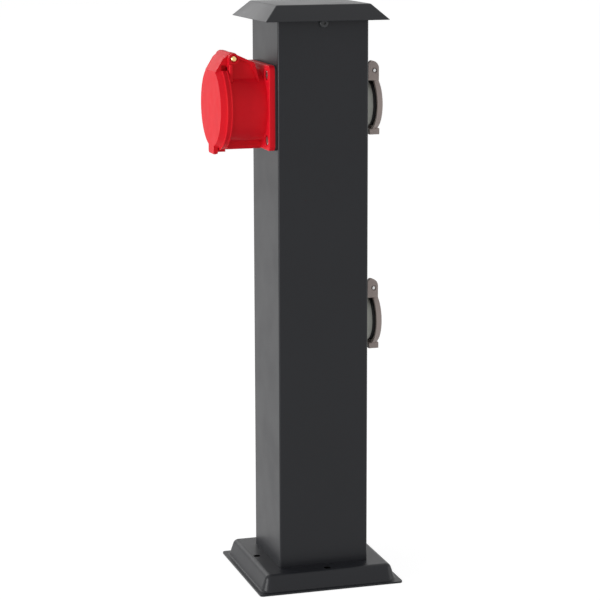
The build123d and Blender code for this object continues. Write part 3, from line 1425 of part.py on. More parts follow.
earth_bond_route = [
    (entry_x[2], pole_y["earth"], bar_bottom - face_gap),
    (entry_x[2], pole_y["earth"], earth_wire_bend_high),
    (earth_lug_x, earth_barrel_y, earth_wire_bend_low),
    (earth_lug_x, earth_barrel_y, lug_top + face_gap),
]

wires([red_route(4, "first"), outlet_route("lower", outlet_half_spacing, "first")], "wires_brown")
wires([red_route(3, "second"), outlet_route("upper", outlet_half_spacing, "second")], "wires_black")
wires([red_route(2, "third")], "wires_grey")
wires(
    [
        red_route(1, "neutral"),
        outlet_route("upper", -outlet_half_spacing, "neutral"),
        outlet_route("lower", -outlet_half_spacing, "neutral"),
    ],
    "wires_blue",
)
wires(
    [
        red_route(0, "earth"),
        outlet_route("upper", 0, "earth"),
        outlet_route("lower", 0, "earth"),
        earth_bond_route,
    ],
    "wires_earth",
)
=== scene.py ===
import json
import logging
import math
from dataclasses import dataclass
from enum import Enum

import bmesh
import bpy
import numpy as np
from mathutils import Euler, Matrix, Vector


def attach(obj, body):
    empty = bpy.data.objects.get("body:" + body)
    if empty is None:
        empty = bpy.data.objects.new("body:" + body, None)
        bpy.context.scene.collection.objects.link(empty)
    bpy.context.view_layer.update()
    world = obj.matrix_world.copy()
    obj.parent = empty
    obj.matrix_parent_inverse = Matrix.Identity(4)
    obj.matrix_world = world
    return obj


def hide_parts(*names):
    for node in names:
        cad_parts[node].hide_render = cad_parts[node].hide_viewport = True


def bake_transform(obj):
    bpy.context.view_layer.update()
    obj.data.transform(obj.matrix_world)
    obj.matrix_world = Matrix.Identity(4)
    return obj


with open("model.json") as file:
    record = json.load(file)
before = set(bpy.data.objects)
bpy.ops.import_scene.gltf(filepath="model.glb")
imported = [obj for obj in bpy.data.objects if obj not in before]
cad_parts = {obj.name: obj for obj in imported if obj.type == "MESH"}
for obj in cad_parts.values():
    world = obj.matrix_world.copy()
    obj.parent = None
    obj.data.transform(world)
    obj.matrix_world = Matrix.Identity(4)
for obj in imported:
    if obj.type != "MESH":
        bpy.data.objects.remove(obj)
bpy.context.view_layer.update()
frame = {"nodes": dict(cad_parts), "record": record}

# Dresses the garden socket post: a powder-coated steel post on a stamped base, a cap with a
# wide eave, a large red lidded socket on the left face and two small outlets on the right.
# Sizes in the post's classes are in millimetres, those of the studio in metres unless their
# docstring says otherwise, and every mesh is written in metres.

logging.basicConfig(level=logging.INFO, format="%(message)s")
log = logging.getLogger("post")

MM = 0.001
FULL_TURN = 2 * math.pi
CORNER_ANGLE = 35  # degrees between two faces above which their edge is a corner
FLAT_ANGLE = 1  # degrees between two faces up to which they become one
MERGE_GAP = 0.002  # millimetres within which points of a CAD node become one
ROUND_STEPS = 3  # strips of faces across a rounded edge

Colour = tuple[float, float, float]
Point = tuple[float, float, float]
Pair = tuple[float, float]
Socket = bpy.types.NodeSocket


# ---------------------------------------------------------------- finishes


def shade(colour: Colour, factor: float) -> Colour:
    """A colour made lighter or darker by a factor, kept under 1."""
    return tuple(min(part * factor, 1.0) for part in colour)


class Graph:
    """Adds and joins the shader nodes of one material. Sizes and depths are in millimetres."""

    NOISE_MIDDLE: Pair = (0.3, 0.7)

    def __init__(self, name: str) -> None:
        """Starts a material that holds a Principled shader and its output.

        Args:
            name: Name of the new material.
        """
        self.material = bpy.data.materials.new(name)
        self.material.use_nodes = True
        self.tree = self.material.node_tree
        self.tree.nodes.clear()
        output = self.node("ShaderNodeOutputMaterial")
        self.shader = self.node("ShaderNodeBsdfPrincipled")
        self.join(self.shader.outputs["BSDF"], output.inputs["Surface"])
        self.place = self.node("ShaderNodeTexCoord").outputs["Object"]

    def node(self, kind: str) -> bpy.types.Node:
        """Adds one node of the kind that Blender calls by this name."""
        return self.tree.nodes.new(kind)

    def join(self, source: Socket, target: Socket) -> None:
        """Links an output socket to an input socket."""
        self.tree.links.new(source, target)

    def drive(self, name: str, value: Socket) -> None:
        """Links a value to an input of the Principled shader."""
        self.join(value, self.shader.inputs[name])

    def fix(self, name: str, value: float | tuple[float, ...]) -> None:
        """Sets an input of the Principled shader to one value for the whole surface."""
        self.shader.inputs[name].default_value = value

    def stretched(self, scale: Point) -> Socket:
        """Object coordinates stretched along the axes.

        Args:
            scale: Factor along x, y and z.

        Returns:
            The stretched coordinates.
        """
        mapping = self.node("ShaderNodeMapping")
        mapping.inputs["Scale"].default_value = scale
        self.join(self.place, mapping.inputs["Vector"])
        return mapping.outputs["Vector"]

    def noise(self, size: float, detail: float, place: Socket | None = None) -> Socket:
        """Noise whose lumps are about the given size.

        Args:
            size: Size of a lump.
            detail: How many finer layers are added.
            place: Coordinates to read, or None for plain object coordinates.

        Returns:
            The noise value, from 0 to 1.
        """
        texture = self.node("ShaderNodeTexNoise")
        texture.inputs["Scale"].default_value = 1 / (size * MM)
        texture.inputs["Detail"].default_value = detail
        self.join(place or self.place, texture.inputs["Vector"])
        return texture.outputs["Fac"]

    def cells(self, size: float) -> Socket:
        """Flat cells, each with a value of its own.

        Args:
            size: Size of a cell.

        Returns:
            The cells' values, from 0 to 1.
        """
        texture = self.node("ShaderNodeTexVoronoi")
        texture.inputs["Scale"].default_value = 1 / (size * MM)
        self.join(self.place, texture.inputs["Vector"])
        split = self.node("ShaderNodeSeparateColor")
        self.join(texture.outputs["Color"], split.inputs["Color"])
        return split.outputs["Red"]

    def spread(self, value: Socket, low: float = 0, high: float = 1) -> Socket:
        """Stretches the middle of a noise value to run from low to high.

        Args:
            value: The noise value.
            low: Result at the low end of the noise's middle.
            high: Result at the high end of the noise's middle.

        Returns:
            The stretched value.
        """
        ranger = self.node("ShaderNodeMapRange")
        ranger.inputs["From Min"].default_value = self.NOISE_MIDDLE[0]
        ranger.inputs["From Max"].default_value = self.NOISE_MIDDLE[1]
        ranger.inputs["To Min"].default_value = low
        ranger.inputs["To Max"].default_value = high
        self.join(value, ranger.inputs["Value"])
        return ranger.outputs["Result"]

    def tint(self, value: Socket, first: Colour, second: Colour) -> None:
        """Mixes two colours by a value into the base colour.

        The mix node's inputs 6 and 7 and its output 2 are those for colours.

        Args:
            value: 0 gives the first colour and 1 the second.
            first: Linear colour.
            second: Linear colour.
        """
        mix = self.node("ShaderNodeMix")
        mix.data_type = "RGBA"
        mix.inputs[6].default_value = (*first, 1)
        mix.inputs[7].default_value = (*second, 1)
        self.join(value, mix.inputs["Factor"])
        self.drive("Base Color", mix.outputs[2])

    def cloud(self, value: Socket, colour: Colour, shades: Pair) -> None:
        """Clouds the base colour between a darker and a lighter shade of one colour.

        Args:
            value: 0 gives the first shade and 1 the second.
            colour: Linear colour.
            shades: The factors of the two shades.
        """
        self.tint(value, shade(colour, shades[0]), shade(colour, shades[1]))

    def roughen(self, value: Socket, roughness: float, swing: Pair) -> None:
        """Lets a noise value swing the roughness about a plain one.

        Args:
            value: The noise value.
            roughness: The plain roughness.
            swing: What is added to it at the two ends of the noise.
        """
        worn = self.spread(value, roughness + swing[0], roughness + swing[1])
        self.drive("Roughness", worn)

    def bump(self, height: Socket, depth: float, below: Socket | None = None) -> Socket:
        """Turns a height value into a bumped normal.

        Args:
            height: Height value, from 0 to 1.
            depth: Depth of the relief.
            below: A normal to add to, or None.

        Returns:
            The bumped normal.
        """
        bump = self.node("ShaderNodeBump")
        bump.inputs["Distance"].default_value = depth * MM
        self.join(height, bump.inputs["Height"])
        if below is not None:
            self.join(below, bump.inputs["Normal"])
        return bump.outputs["Normal"]


@dataclass(frozen=True)
class Finish:
    """Finish of one kind of piece. Fields that are sizes or depths are in millimetres."""

    colour: Colour

    def dress(self, graph: Graph) -> None:
        """Adds the nodes of this finish to a new material."""
        raise NotImplementedError

    def build(self, name: str) -> bpy.types.Material:
        """Makes the material.

        Args:
            name: Name of the material.

        Returns:
            The material.
        """
        graph = Graph(name)
        self.dress(graph)
        return graph.material


@dataclass(frozen=True)
class PowderCoat(Finish):
    """Matt textured powder coat: a fine grain over a faint orange peel."""

    roughness: float = 0.37
    specular: float = 0.27
    shades: Pair = (0.94, 1.07)
    cloud: float = 90
    swing: Pair = (-0.02, 0.03)
    rubbing: float = 30
    peel: float = 2.4
    peel_depth: float = 0.01
    grain: float = 0.5
    grain_depth: float = 0.012

    def dress(self, graph: Graph) -> None:
        """Adds the coat's clouds, rubbed places, orange peel and grain.

        Args:
            graph: The new material's nodes.
        """
        graph.cloud(graph.spread(graph.noise(self.cloud, 4)), self.colour, self.shades)
        graph.roughen(graph.noise(self.rubbing, 5), self.roughness, self.swing)
        peel = graph.bump(graph.noise(self.peel, 2), self.peel_depth)
        graph.drive("Normal", graph.bump(graph.noise(self.grain, 2), self.grain_depth, peel))
        graph.fix("Specular IOR Level", self.specular)


@dataclass(frozen=True)
class Moulding(Finish):
    """Injection-moulded plastic: faint flow marks, slight sink and a fine spark-eroded skin."""

    roughness: float = 0.35
    skin: float = 0.006
    specular: float = 0.5
    sheen: Colour = (1, 1, 1)
    shades: Pair = (0.97, 1.03)
    flow: float = 14
    flow_stretch: Point = (1, 1, 0.35)
    swing: Pair = (-0.03, 0.04)
    rubbing: float = 9
    sink: float = 16
    sink_depth: float = 0.02
    pits: float = 0.35

    def dress(self, graph: Graph) -> None:
        """Adds the moulding's flow marks, rubbed places, sink marks and skin.

        Args:
            graph: The new material's nodes.
        """
        flow = graph.noise(self.flow, 4, graph.stretched(self.flow_stretch))
        graph.cloud(graph.spread(flow), self.colour, self.shades)
        graph.roughen(graph.noise(self.rubbing, 5), self.roughness, self.swing)
        sink = graph.bump(graph.noise(self.sink, 1), self.sink_depth)
        graph.drive("Normal", graph.bump(graph.noise(self.pits, 2), self.skin, sink))
        graph.fix("Specular IOR Level", self.specular)
        graph.fix("Specular Tint", (*self.sheen, 1))


@dataclass(frozen=True)
class SoftRubber(Finish):
    """Matt rubber with a chalky bloom and a fine pitted skin."""

    colour: Colour = (0.016, 0.016, 0.017)
    shades: Pair = (1, 1.7)
    bloom: float = 6
    roughness: Pair = (0.66, 0.85)
    rubbing: float = 3
    pits: float = 0.4
    skin: float = 0.015

    def dress(self, graph: Graph) -> None:
        """Adds the rubber's bloom, rubbed places and pits.

        Args:
            graph: The new material's nodes.
        """
        graph.cloud(graph.spread(graph.noise(self.bloom, 6)), self.colour, self.shades)
        graph.drive("Roughness", graph.spread(graph.noise(self.rubbing, 4), *self.roughness))
        graph.drive("Normal", graph.bump(graph.noise(self.pits, 3), self.skin))


@dataclass(frozen=True)
class BareMetal(Finish):
    """Bare or plated metal with fine drawing lines along one axis and a cloudy sheen."""

    roughness: float = 0.34
    lines: Point = (1, 1, 0.03)
    spangle: float = 0
    shades: Pair = (0.86, 1.06)
    cloud: float = 4
    swing: Pair = (-0.07, 0.1)
    line_width: float = 0.25
    line_depth: float = 0.004

    def dress(self, graph: Graph) -> None:
        """Adds the metal's spangle or clouds and its drawing lines.

        Args:
            graph: The new material's nodes.
        """
        if self.spangle:
            cloud = graph.cells(self.spangle)
        else:
            cloud = graph.spread(graph.noise(self.cloud, 5))
        graph.cloud(cloud, self.colour, self.shades)
        drawn = graph.noise(self.line_width, 3, graph.stretched(self.lines))
        graph.roughen(drawn, self.roughness, self.swing)
        graph.drive("Normal", graph.bump(drawn, self.line_depth))
        graph.fix("Metallic", 1)


@dataclass(frozen=True)
class WireSkin(Finish):
    """Wire insulation, in one colour or with a slanting stripe of a second one."""

    stripe: Colour | None = None
    stripe_scale: float = 45
    stripe_stretch: Point = (1, 1, 0.2)
    shades: Pair = (0.92, 1.08)
    dulling: float = 5
    roughness: Pair = (0.36, 0.5)
    rubbing: float = 1.5
    pits: float = 0.6
    skin: float = 0.006

    def dress(self, graph: Graph) -> None:
        """Adds the insulation's stripe or dull places, and its skin.

        Args:
            graph: The new material's nodes.
        """
        if self.stripe:
            wave = graph.node("ShaderNodeTexWave")
            wave.inputs["Scale"].default_value = self.stripe_scale
            graph.join(graph.stretched(self.stripe_stretch), wave.inputs["Vector"])
            graph.tint(graph.spread(wave.outputs["Fac"]), self.colour, self.stripe)
        else:
            dull = graph.spread(graph.noise(self.dulling, 4))
            graph.cloud(dull, self.colour, self.shades)
        graph.drive("Roughness", graph.spread(graph.noise(self.rubbing, 4), *self.roughness))
        graph.drive("Normal", graph.bump(graph.noise(self.pits, 2), self.skin))


FINISHES: dict[str, Finish] = {
    "graphite_coat": PowderCoat((0.0125, 0.0133, 0.0162)),
    # painted shade: a near-black matt finish that darkens the inside of the anchor holes
    "painted_hole_shade": Moulding((0.0028, 0.0028, 0.003), roughness=0.8, specular=0.02),
    "black_screws": PowderCoat((0.016, 0.0175, 0.02), grain=0.35, roughness=0.34, specular=0.5),
    "zinc_sheet": BareMetal((0.52, 0.53, 0.54), roughness=0.42, spangle=7),
    "zinc_fasteners": BareMetal((0.6, 0.6, 0.58), roughness=0.3),
    "spring_steel": BareMetal((0.58, 0.58, 0.58), roughness=0.26, lines=(0.1, 1, 1)),
    "black_rubber": SoftRubber(),
    "red_plastic": Moulding((0.74, 0.006, 0.021), roughness=0.5, specular=0.16, sheen=(1, 1, 0.5)),
    "black_plastic": Moulding((0.022, 0.022, 0.024), roughness=0.42),
    "brass_contacts": BareMetal((0.78, 0.56, 0.25), roughness=0.27, lines=(1, 0.05, 1)),
    "lid_taupe": Moulding((0.40, 0.337, 0.315), roughness=0.5, skin=0.01, specular=0.25),
    "collar_grey": Moulding((0.44, 0.45, 0.415), roughness=0.5, skin=0.01, specular=0.25),
    "insert_grey": Moulding((0.085, 0.085, 0.088), roughness=0.45, skin=0.01),
    "terminal_grey": Moulding((0.3, 0.31, 0.32), roughness=0.5, skin=0.012),
    "terminal_blue": Moulding((0.02, 0.11, 0.42), roughness=0.5, skin=0.012),
    "terminal_green_yellow": Moulding((0.16, 0.4, 0.05), roughness=0.5, skin=0.012),
    "tinned_lug": BareMetal((0.66, 0.66, 0.64), roughness=0.28),
    "wire_brown": WireSkin((0.13, 0.045, 0.02)),
    "wire_black": WireSkin((0.014, 0.014, 0.015)),
    "wire_grey": WireSkin((0.3, 0.31, 0.32)),
    "wire_blue": WireSkin((0.015, 0.09, 0.42)),
    "wire_green_yellow": WireSkin((0.05, 0.3, 0.03), stripe=(0.75, 0.6, 0.02)),
}
MATERIALS: dict[str, bpy.types.Material] = {}


def finish(slot: str) -> bpy.types.Material:
    """Material of a slot, made once.

    Args:
        slot: Name of a material slot in the record.

    Returns:
        The slot's material.
    """
    if slot not in MATERIALS:
        MATERIALS[slot] = FINISHES[slot].build(slot)
    return MATERIALS[slot]


# ---------------------------------------------------------------- surfaces


@dataclass
class Surface:
    """Closed surface: points in millimetres, and faces that index them.

    The quads are faces x 4, and the ends hold the point numbers of the end faces.
    """

    points: np.ndarray
    quads: np.ndarray
    ends: list[np.ndarray]

    def faces(self, start: int) -> list[list[int]]:
        """Every face as a list of point numbers, counted from start."""
        return (self.quads + start).tolist() + [(end + start).tolist() for end in self.ends]


def ring_surface(rings: np.ndarray, around: bool = False) -> Surface:
    """Joins closed rings of points, one after the other, into a surface.

    Face (i, j) joins points j and j+1 of ring i with those of ring i+1, counting j round
    the ring. The two end rings get a flat face each, or are joined to each other.

    Args:
        rings: Array of rings x points x 3.
        around: Whether the last ring is joined to the first.

    Returns:
        The closed surface.
    """
    count, size = rings.shape[:2]
    index = np.arange(count * size).reshape(count, size)
    upper = np.roll(index, -1, axis=0) if around else index[1:]
    lower = index if around else index[:-1]
    quads = np.stack([lower, np.roll(lower, -1, 1), np.roll(upper, -1, 1), upper], axis=-1)
    ends = [] if around else [index[0, ::-1], index[-1]]
    return Surface(rings.reshape(-1, 3), quads.reshape(-1, 4), ends)


def revolved(profile: list[Pair], steps: int) -> np.ndarray:
    """Rings of a turned shape: each profile point circles the axis at its own radius.

    A point is (radius cos t, radius sin t, height), with t from 0 to a full turn.

    Args:
        profile: Radius and height pairs, in order along the surface.
        steps: Points on each ring.

    Returns:
        Array of rings x points x 3.
    """
    turn = np.linspace(0, FULL_TURN, steps, endpoint=False)
    radius, height = np.array(profile).T[:, :, None]
    ring = np.broadcast_arrays(radius * np.cos(turn), radius * np.sin(turn), height)
    return np.stack(ring, axis=-1)


def rectangle(low: Pair, high: Pair) -> list[Pair]:
    """The corners of an upright rectangle, anticlockwise from its low one."""
    return [low, (high[0], low[1]), high, (low[0], high[1])]


def rounded_outline(corners: list[Pair], radii: list[float], steps: int) -> np.ndarray:
    """Closed outline whose corners are circular arcs.

    At each corner the arc's centre lies on the bisector, radius / sin(half the angle) away,
    and the arc turns evenly from one tangent point to the other.

    Args:
        corners: Corner points in order.
        radii: Radius of each corner's arc.
        steps: Points on each arc.

    Returns:
        Array of points x 2.
    """
    point = np.array(corners, float)
    radius = np.array(radii, float)[:, None]
    back = np.roll(point, 1, 0) - point
    ahead = np.roll(point, -1, 0) - point
    back /= np.linalg.norm(back, axis=1, keepdims=True)
    ahead /= np.linalg.norm(ahead, axis=1, keepdims=True)
    half = np.arccos(np.clip((back * ahead).sum(1, keepdims=True), -1, 1)) / 2
    reach = radius / np.tan(half)
    middle = back + ahead
    centre = point + middle / np.linalg.norm(middle, axis=1, keepdims=True) * radius / np.sin(half)
    start = (point + back * reach - centre)[:, None, :]
    end = (point + ahead * reach - centre)[:, None, :]
    sweep = (math.pi - 2 * half)[:, None, :]
    share = np.linspace(0, 1, steps)[None, :, None]
    arc = (np.sin((1 - share) * sweep) * start + np.sin(share * sweep) * end) / np.sin(sweep)
    return (centre[:, None, :] + arc).reshape(-1, 2)


def soft_levels(low: float, high: float, radius: float, steps: int) -> np.ndarray:
    """Insets and positions of a prism whose two end edges are quarter rounds.

    Args:
        low: Position of the first end.
        high: Position of the second end.
        radius: Radius of the rounding.
        steps: Points on each quarter round.

    Returns:
        Array of (inset, position) pairs.
    """
    turn = np.linspace(0, math.pi / 2, steps)
    inset = radius * (1 - np.sin(turn))
    rise = radius * (1 - np.cos(turn))
    first = np.stack([inset, low + rise], 1)
    last = np.stack([inset[::-1], high - rise[::-1]], 1)
    return np.concatenate([first, last])


def prism(outline: np.ndarray, levels: np.ndarray) -> np.ndarray:
    """Rings of a prism: the outline moved inwards by each level's inset.

    A point moves along its own normal, which is square to the line between its neighbours.

    Args:
        outline: Points x 2, anticlockwise.
        levels: Levels x (inset, position).

    Returns:
        Array of rings x points x 3.
    """
    along = np.roll(outline, -1, 0) - np.roll(outline, 1, 0)
    along /= np.linalg.norm(along, axis=1, keepdims=True)
    outwards = np.stack([along[:, 1], -along[:, 0]], 1)
    flat = outline[None] - outwards[None] * levels[:, 0][:, None, None]
    position = np.broadcast_to(levels[:, 1][:, None, None], (*flat.shape[:2], 1))
    return np.concatenate([flat, position], axis=2)


def square_rings(
    half: np.ndarray, corner: np.ndarray, height: np.ndarray, steps: int = 7
) -> np.ndarray:
    """Rounded square rings about the z axis.

    Each corner is a quarter circle about (half - corner, half - corner) and its turned copies.

    Args:
        half: Half the width of each ring.
        corner: Corner radius of each ring.
        height: Height of each ring.
        steps: Points on each corner.

    Returns:
        Array of rings x points x 3.
    """
    quarter = np.arange(4)[:, None] * math.pi / 2
    turn = (quarter + np.linspace(0, math.pi / 2, steps)[None]).reshape(-1)
    diagonal = np.repeat(quarter + math.pi / 4, steps, axis=1).reshape(-1)
    out = math.sqrt(2) * (half - corner)[:, None]
    x = out * np.cos(diagonal) + corner[:, None] * np.cos(turn)
    y = out * np.sin(diagonal) + corner[:, None] * np.sin(turn)
    return np.stack([x, y, np.broadcast_to(height[:, None], x.shape)], axis=-1)


def tube(path: np.ndarray, radius: float, across: np.ndarray, sides: int) -> np.ndarray:
    """Rings of a round tube along a path.

    Ring i is a circle about path point i, spanned by the part of the across direction that is
    square to the path, and by that direction's cross product with the path.

    Args:
        path: Points x 3.
        radius: Radius of the tube.
        across: A direction that is never along the path.
        sides: Points on each ring.

    Returns:
        Array of rings x points x 3.
    """
    ahead = np.gradient(path, axis=0)
    ahead /= np.linalg.norm(ahead, axis=1, keepdims=True)
    first = across[None] - (ahead @ across)[:, None] * ahead
    first /= np.linalg.norm(first, axis=1, keepdims=True)
    second = np.cross(ahead, first)
    turn = np.linspace(0, FULL_TURN, sides, endpoint=False)[None, :, None]
    circle = np.cos(turn) * first[:, None] + np.sin(turn) * second[:, None]
    return path[:, None] + radius * circle


def moved(rings: np.ndarray, across: float = 0, up: float = 0, out: float = 0) -> np.ndarray:
    """Rings moved by the given distances."""
    return rings + np.array([across, up, out])


@dataclass(frozen=True)
class FacePlane:
    """Axes of a socket on the column: across its face, up and outwards."""

    side: int
    height: float
    column_half: float = 40

    def place(self, points: np.ndarray) -> np.ndarray:
        """Turns (across, up, out) into row coordinates.

        Args:
            points: Array whose last axis is (across, up, out).

        Returns:
            Array of the same shape in (x, y, z).
        """
        across, up, out = np.moveaxis(points, -1, 0)
        x = self.side * (self.column_half + out)
        return np.stack([x, self.side * across, self.height + up], -1)


def stand(name: str, data: bpy.types.ID) -> bpy.types.Object:
    """Links an object that holds a mesh, a lamp or a camera, at the origin.

    Args:
        name: Name of the object.
        data: What it holds.

    Returns:
        The new object.
    """
    thing = bpy.data.objects.new(name, data)
    bpy.context.scene.collection.objects.link(thing)
    return thing


def settled(
    name: str, mesh: bpy.types.Mesh, slot: str, body: str, sharp: float
) -> bpy.types.Object:
    """Shades a mesh, stands it at the origin, dresses it and lets it ride.

    Args:
        name: Name of the piece.
        mesh: The mesh, in metres in the row frame.
        slot: Material slot that it takes its finish from.
        body: CAD body that it moves with.
        sharp: Angle in degrees above which an edge stays sharp.

    Returns:
        The new object.
    """
    mesh.polygons.foreach_set("use_smooth", np.ones(len(mesh.polygons), bool))
    mesh.set_sharp_from_angle(angle=math.radians(sharp))
    mesh.materials.clear()
    mesh.materials.append(finish(slot))
    piece = stand(name, mesh)
    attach(piece, body)
    log.info("piece %s: %d faces on %s", name, len(mesh.polygons), body)
    return piece


def new_piece(
    name: str, surfaces: list[Surface], slot: str, body: str, sharp: float = 38, skin: str = ""
) -> bpy.types.Object:
    """Makes one object from surfaces, with faces outwards, and lets it ride on a body.

    Args:
        name: Name of the piece.
        surfaces: Closed surfaces, in millimetres in the row frame.
        slot: Material slot that it takes its finish from.
        body: CAD body that it moves with.
        sharp: Angle in degrees above which an edge stays sharp.
        skin: A finish of its own, or nothing for the slot's.

    Returns:
        The new object.
    """
    starts = np.cumsum([0] + [len(part.points) for part in surfaces]).tolist()
    points = np.concatenate([part.points for part in surfaces]) * MM
    faces = sum([part.faces(start) for part, start in zip(surfaces, starts)], [])
    mesh = bpy.data.meshes.new(name)
    mesh.from_pydata(points.tolist(), [], faces)
    work = bmesh.new()
    work.from_mesh(mesh)
    bmesh.ops.recalc_face_normals(work, faces=work.faces)
    work.to_mesh(mesh)
    work.free()
    piece = settled(name, mesh, slot, body, sharp)
    if skin:
        mesh.materials[0] = finish(skin)
    return piece


@dataclass(frozen=True)
class RoundZone:
    """Box in the row frame, in millimetres, whose edges get a rounding of their own."""

    low: Point
    high: Point
    radius: float


def edge_radii(mesh: bpy.types.Mesh, radius: float, zones: tuple[RoundZone, ...]) -> np.ndarray:
    """Rounding of each edge of a mesh: none unless it is a corner, a zone's own inside it.

    An edge lies in a zone if its middle does.

    Args:
        mesh: The mesh, in metres.
        radius: Radius of the rounding outside the zones, in millimetres.
        zones: Boxes with a radius of their own.

    Returns:
        One radius for each edge, in millimetres.
    """
    work = bmesh.new()
    work.from_mesh(mesh)
    bend = np.array([edge.calc_face_angle(0) for edge in work.edges])
    ends = np.array([[corner.co[:] for corner in edge.verts] for edge in work.edges])
    work.free()
    middle = ends.mean(axis=1) / MM
    radii = np.where(bend > math.radians(CORNER_ANGLE), radius, 0.0)
    for zone in zones:
        inside = ((middle > np.array(zone.low)) & (middle < np.array(zone.high))).all(axis=1)
        radii = np.where(inside & (radii > 0), zone.radius, radii)
    return radii


def softened(
    node: str, slot: str, body: str, radius: float, zones: tuple[RoundZone, ...] = ()
) -> bpy.types.Object:
    """Stands a copy of a CAD node with rounded edges in the node's place.

    Args:
        node: The CAD node.
        slot: Material slot of the copy.
        body: CAD body that it moves with.
        radius: Radius of the rounding, in millimetres.
        zones: Boxes whose edges get a radius of their own.

    Returns:
        The copy, which replaces the node.
    """
    mesh = frame["nodes"][node].data.copy()
    work = bmesh.new()
    work.from_mesh(mesh)
    bmesh.ops.remove_doubles(work, verts=work.verts, dist=MERGE_GAP * MM)
    flat = math.radians(FLAT_ANGLE)
    bmesh.ops.dissolve_limit(work, angle_limit=flat, verts=work.verts, edges=work.edges)
    work.to_mesh(mesh)
    work.free()
    radii = edge_radii(mesh, radius, zones)
    weights = mesh.attributes.new("bevel_weight_edge", "FLOAT", "EDGE")
    weights.data.foreach_set("value", (radii / radii.max()).astype(np.float32))
    piece = settled(f"{node}_moulded", mesh, slot, body, CORNER_ANGLE)
    edges = piece.modifiers.new("soft_edges", "BEVEL")
    edges.width = float(radii.max()) * MM
    edges.segments = ROUND_STEPS
    edges.limit_method = "WEIGHT"
    edges.harden_normals = True
    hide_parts(node)
    return piece


# ---------------------------------------------------------------- the post


@dataclass
class HingeSpring:
    """Torsion spring round a hinge pin, one leg on the housing and one on the lid."""

    name: str
    cover: str
    plane: FacePlane
    pin_out: float
    pin_up: float
    housing_radius: float
    lid_leg: float
    coil_radius: float
    wire_radius: float
    pitch: float
    turns: int = 7
    coil_steps: int = 16
    foot_steps: int = 8
    leg_steps: int = 6
    wire_sides: int = 12
    clearance: float = 0.3

    @property
    def half_turns(self) -> int:
        """Half turns of the coil: an odd number, which leaves its ends on either side."""
        return 2 * self.turns + 1

    @property
    def length(self) -> float:
        """Length of the coil along the pin."""
        return self.half_turns * self.pitch / 2

    def path(self) -> np.ndarray:
        """Points of the wire: up the first leg, round the pin, down the second leg.

        The coil's point at turn t is radius (cos t, sin t) about the pin, t falling from half a
        turn, while it moves along the pin by one pitch a turn. The first leg stands on the
        housing's round, whose height over a half length is the root of radius squared less
        half length squared.

        Returns:
            Array of points x 3 as (across, up, out).
        """
        share = np.linspace(0, 1, self.half_turns * self.coil_steps + 1)
        turn = math.pi - share * self.half_turns * math.pi
        coil = np.stack(
            [
                self.length * (share - 0.5),
                self.pin_up + self.coil_radius * np.sin(turn),
                self.pin_out + self.coil_radius * np.cos(turn),
            ],
            axis=1,
        )
        rest = math.sqrt(self.housing_radius**2 - (self.length / 2) ** 2) + self.clearance
        tip = self.pin_up - self.lid_leg
        foot = np.repeat(coil[:1], self.foot_steps, 0)
        foot[:, 1] = np.linspace(rest, self.pin_up, self.foot_steps + 1)[:-1]
        leg = np.repeat(coil[-1:], self.leg_steps, 0)
        leg[:, 1] = np.linspace(self.pin_up, tip, self.leg_steps + 1)[1:]
        return np.concatenate([foot, coil, leg])

    def build(self) -> None:
        """Makes the spring's wire, a still mesh between the housing and the lid."""
        along = np.array([1.0, 0, 0])
        rings = tube(self.path(), self.wire_radius, along, self.wire_sides)
        wire = ring_surface(self.plane.place(rings))
        piece = new_piece(f"{self.name}_wire", [wire], "spring_steel", "post", sharp=60)
        half = self.length / 2 - 2 * self.wire_radius
        pin = np.array([[side, self.pin_up, self.pin_out] for side in (-half, half)])
        ends = self.plane.place(pin)
        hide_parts(self.name)
        piece.parent = None
        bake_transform(piece)


@dataclass
class Cap:
    """Flat-topped cap folded from one sheet, with an open underside."""

    eave_height: float = 491.1
    top: float = 504.3
    eave_half: float = 54.2
    top_half: float = 41.35
    sheet: float = 1.5
    fold: float = 0.9
    fold_steps: int = 6
    inner_corner: float = 0.8
    lip_corner: float = 1.2
    outer_corner: float = 1.3

    def profile(self) -> np.ndarray:
        """Half-widths, corner radii and heights of the rings, from inside to outside.

        Under the sheet come the inner fold and the eave's lip, whose edges are broken. The
        outer fold is the curve (1-t)^2 start + 2t(1-t) corner + t^2 end, with t from 0 to 1.

        Returns:
            Array of rings x 3.
        """
        lean = (self.eave_half - self.top_half) / (self.top - self.eave_height)
        wall = self.sheet * math.hypot(1, lean)
        inner_top = self.top - self.sheet
        inner_half = self.top_half + lean * self.sheet - wall
        inner_eave = self.eave_half - wall
        inside, lip, outside = self.inner_corner, self.lip_corner, self.outer_corner
        inner_fold = [
            (inner_half - 1.0, inside, inner_top),
            (inner_half - 0.2, inside, inner_top - 0.2),
            (inner_half + lean, inside, inner_top - 1.0),
        ]
        eave_lip = [
            (inner_eave - lean * 0.25, inside, self.eave_height + 0.25),
            (inner_eave + 0.12, inside, self.eave_height),
            (self.eave_half - 0.3, lip, self.eave_height),
            (self.eave_half - 0.05, outside, self.eave_height + 0.12),
            (self.eave_half - 0.12, outside, self.eave_height + 0.38),
        ]
        turn = np.linspace(0, 1, self.fold_steps)[:, None]
        start = np.array([self.top_half + lean * self.fold, self.top - self.fold])
        corner = np.array([self.top_half, self.top])
        end = np.array([self.top_half - self.fold * 1.3, self.top])
        bend = (1 - turn) ** 2 * start + 2 * (turn * (1 - turn)) * corner + turn**2 * end
        outer_fold = [(half, outside, height) for half, height in bend.tolist()]
        return np.array(inner_fold + eave_lip + outer_fold)

    def build(self) -> None:
        """Makes the cap's sheet in place of the CAD node."""
        half, corner, height = self.profile().T
        sheet = ring_surface(square_rings(half, corner, height))
        piece = new_piece("cap_sheet", [sheet], "graphite_coat", "post", sharp=25)
        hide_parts("cap_cover")


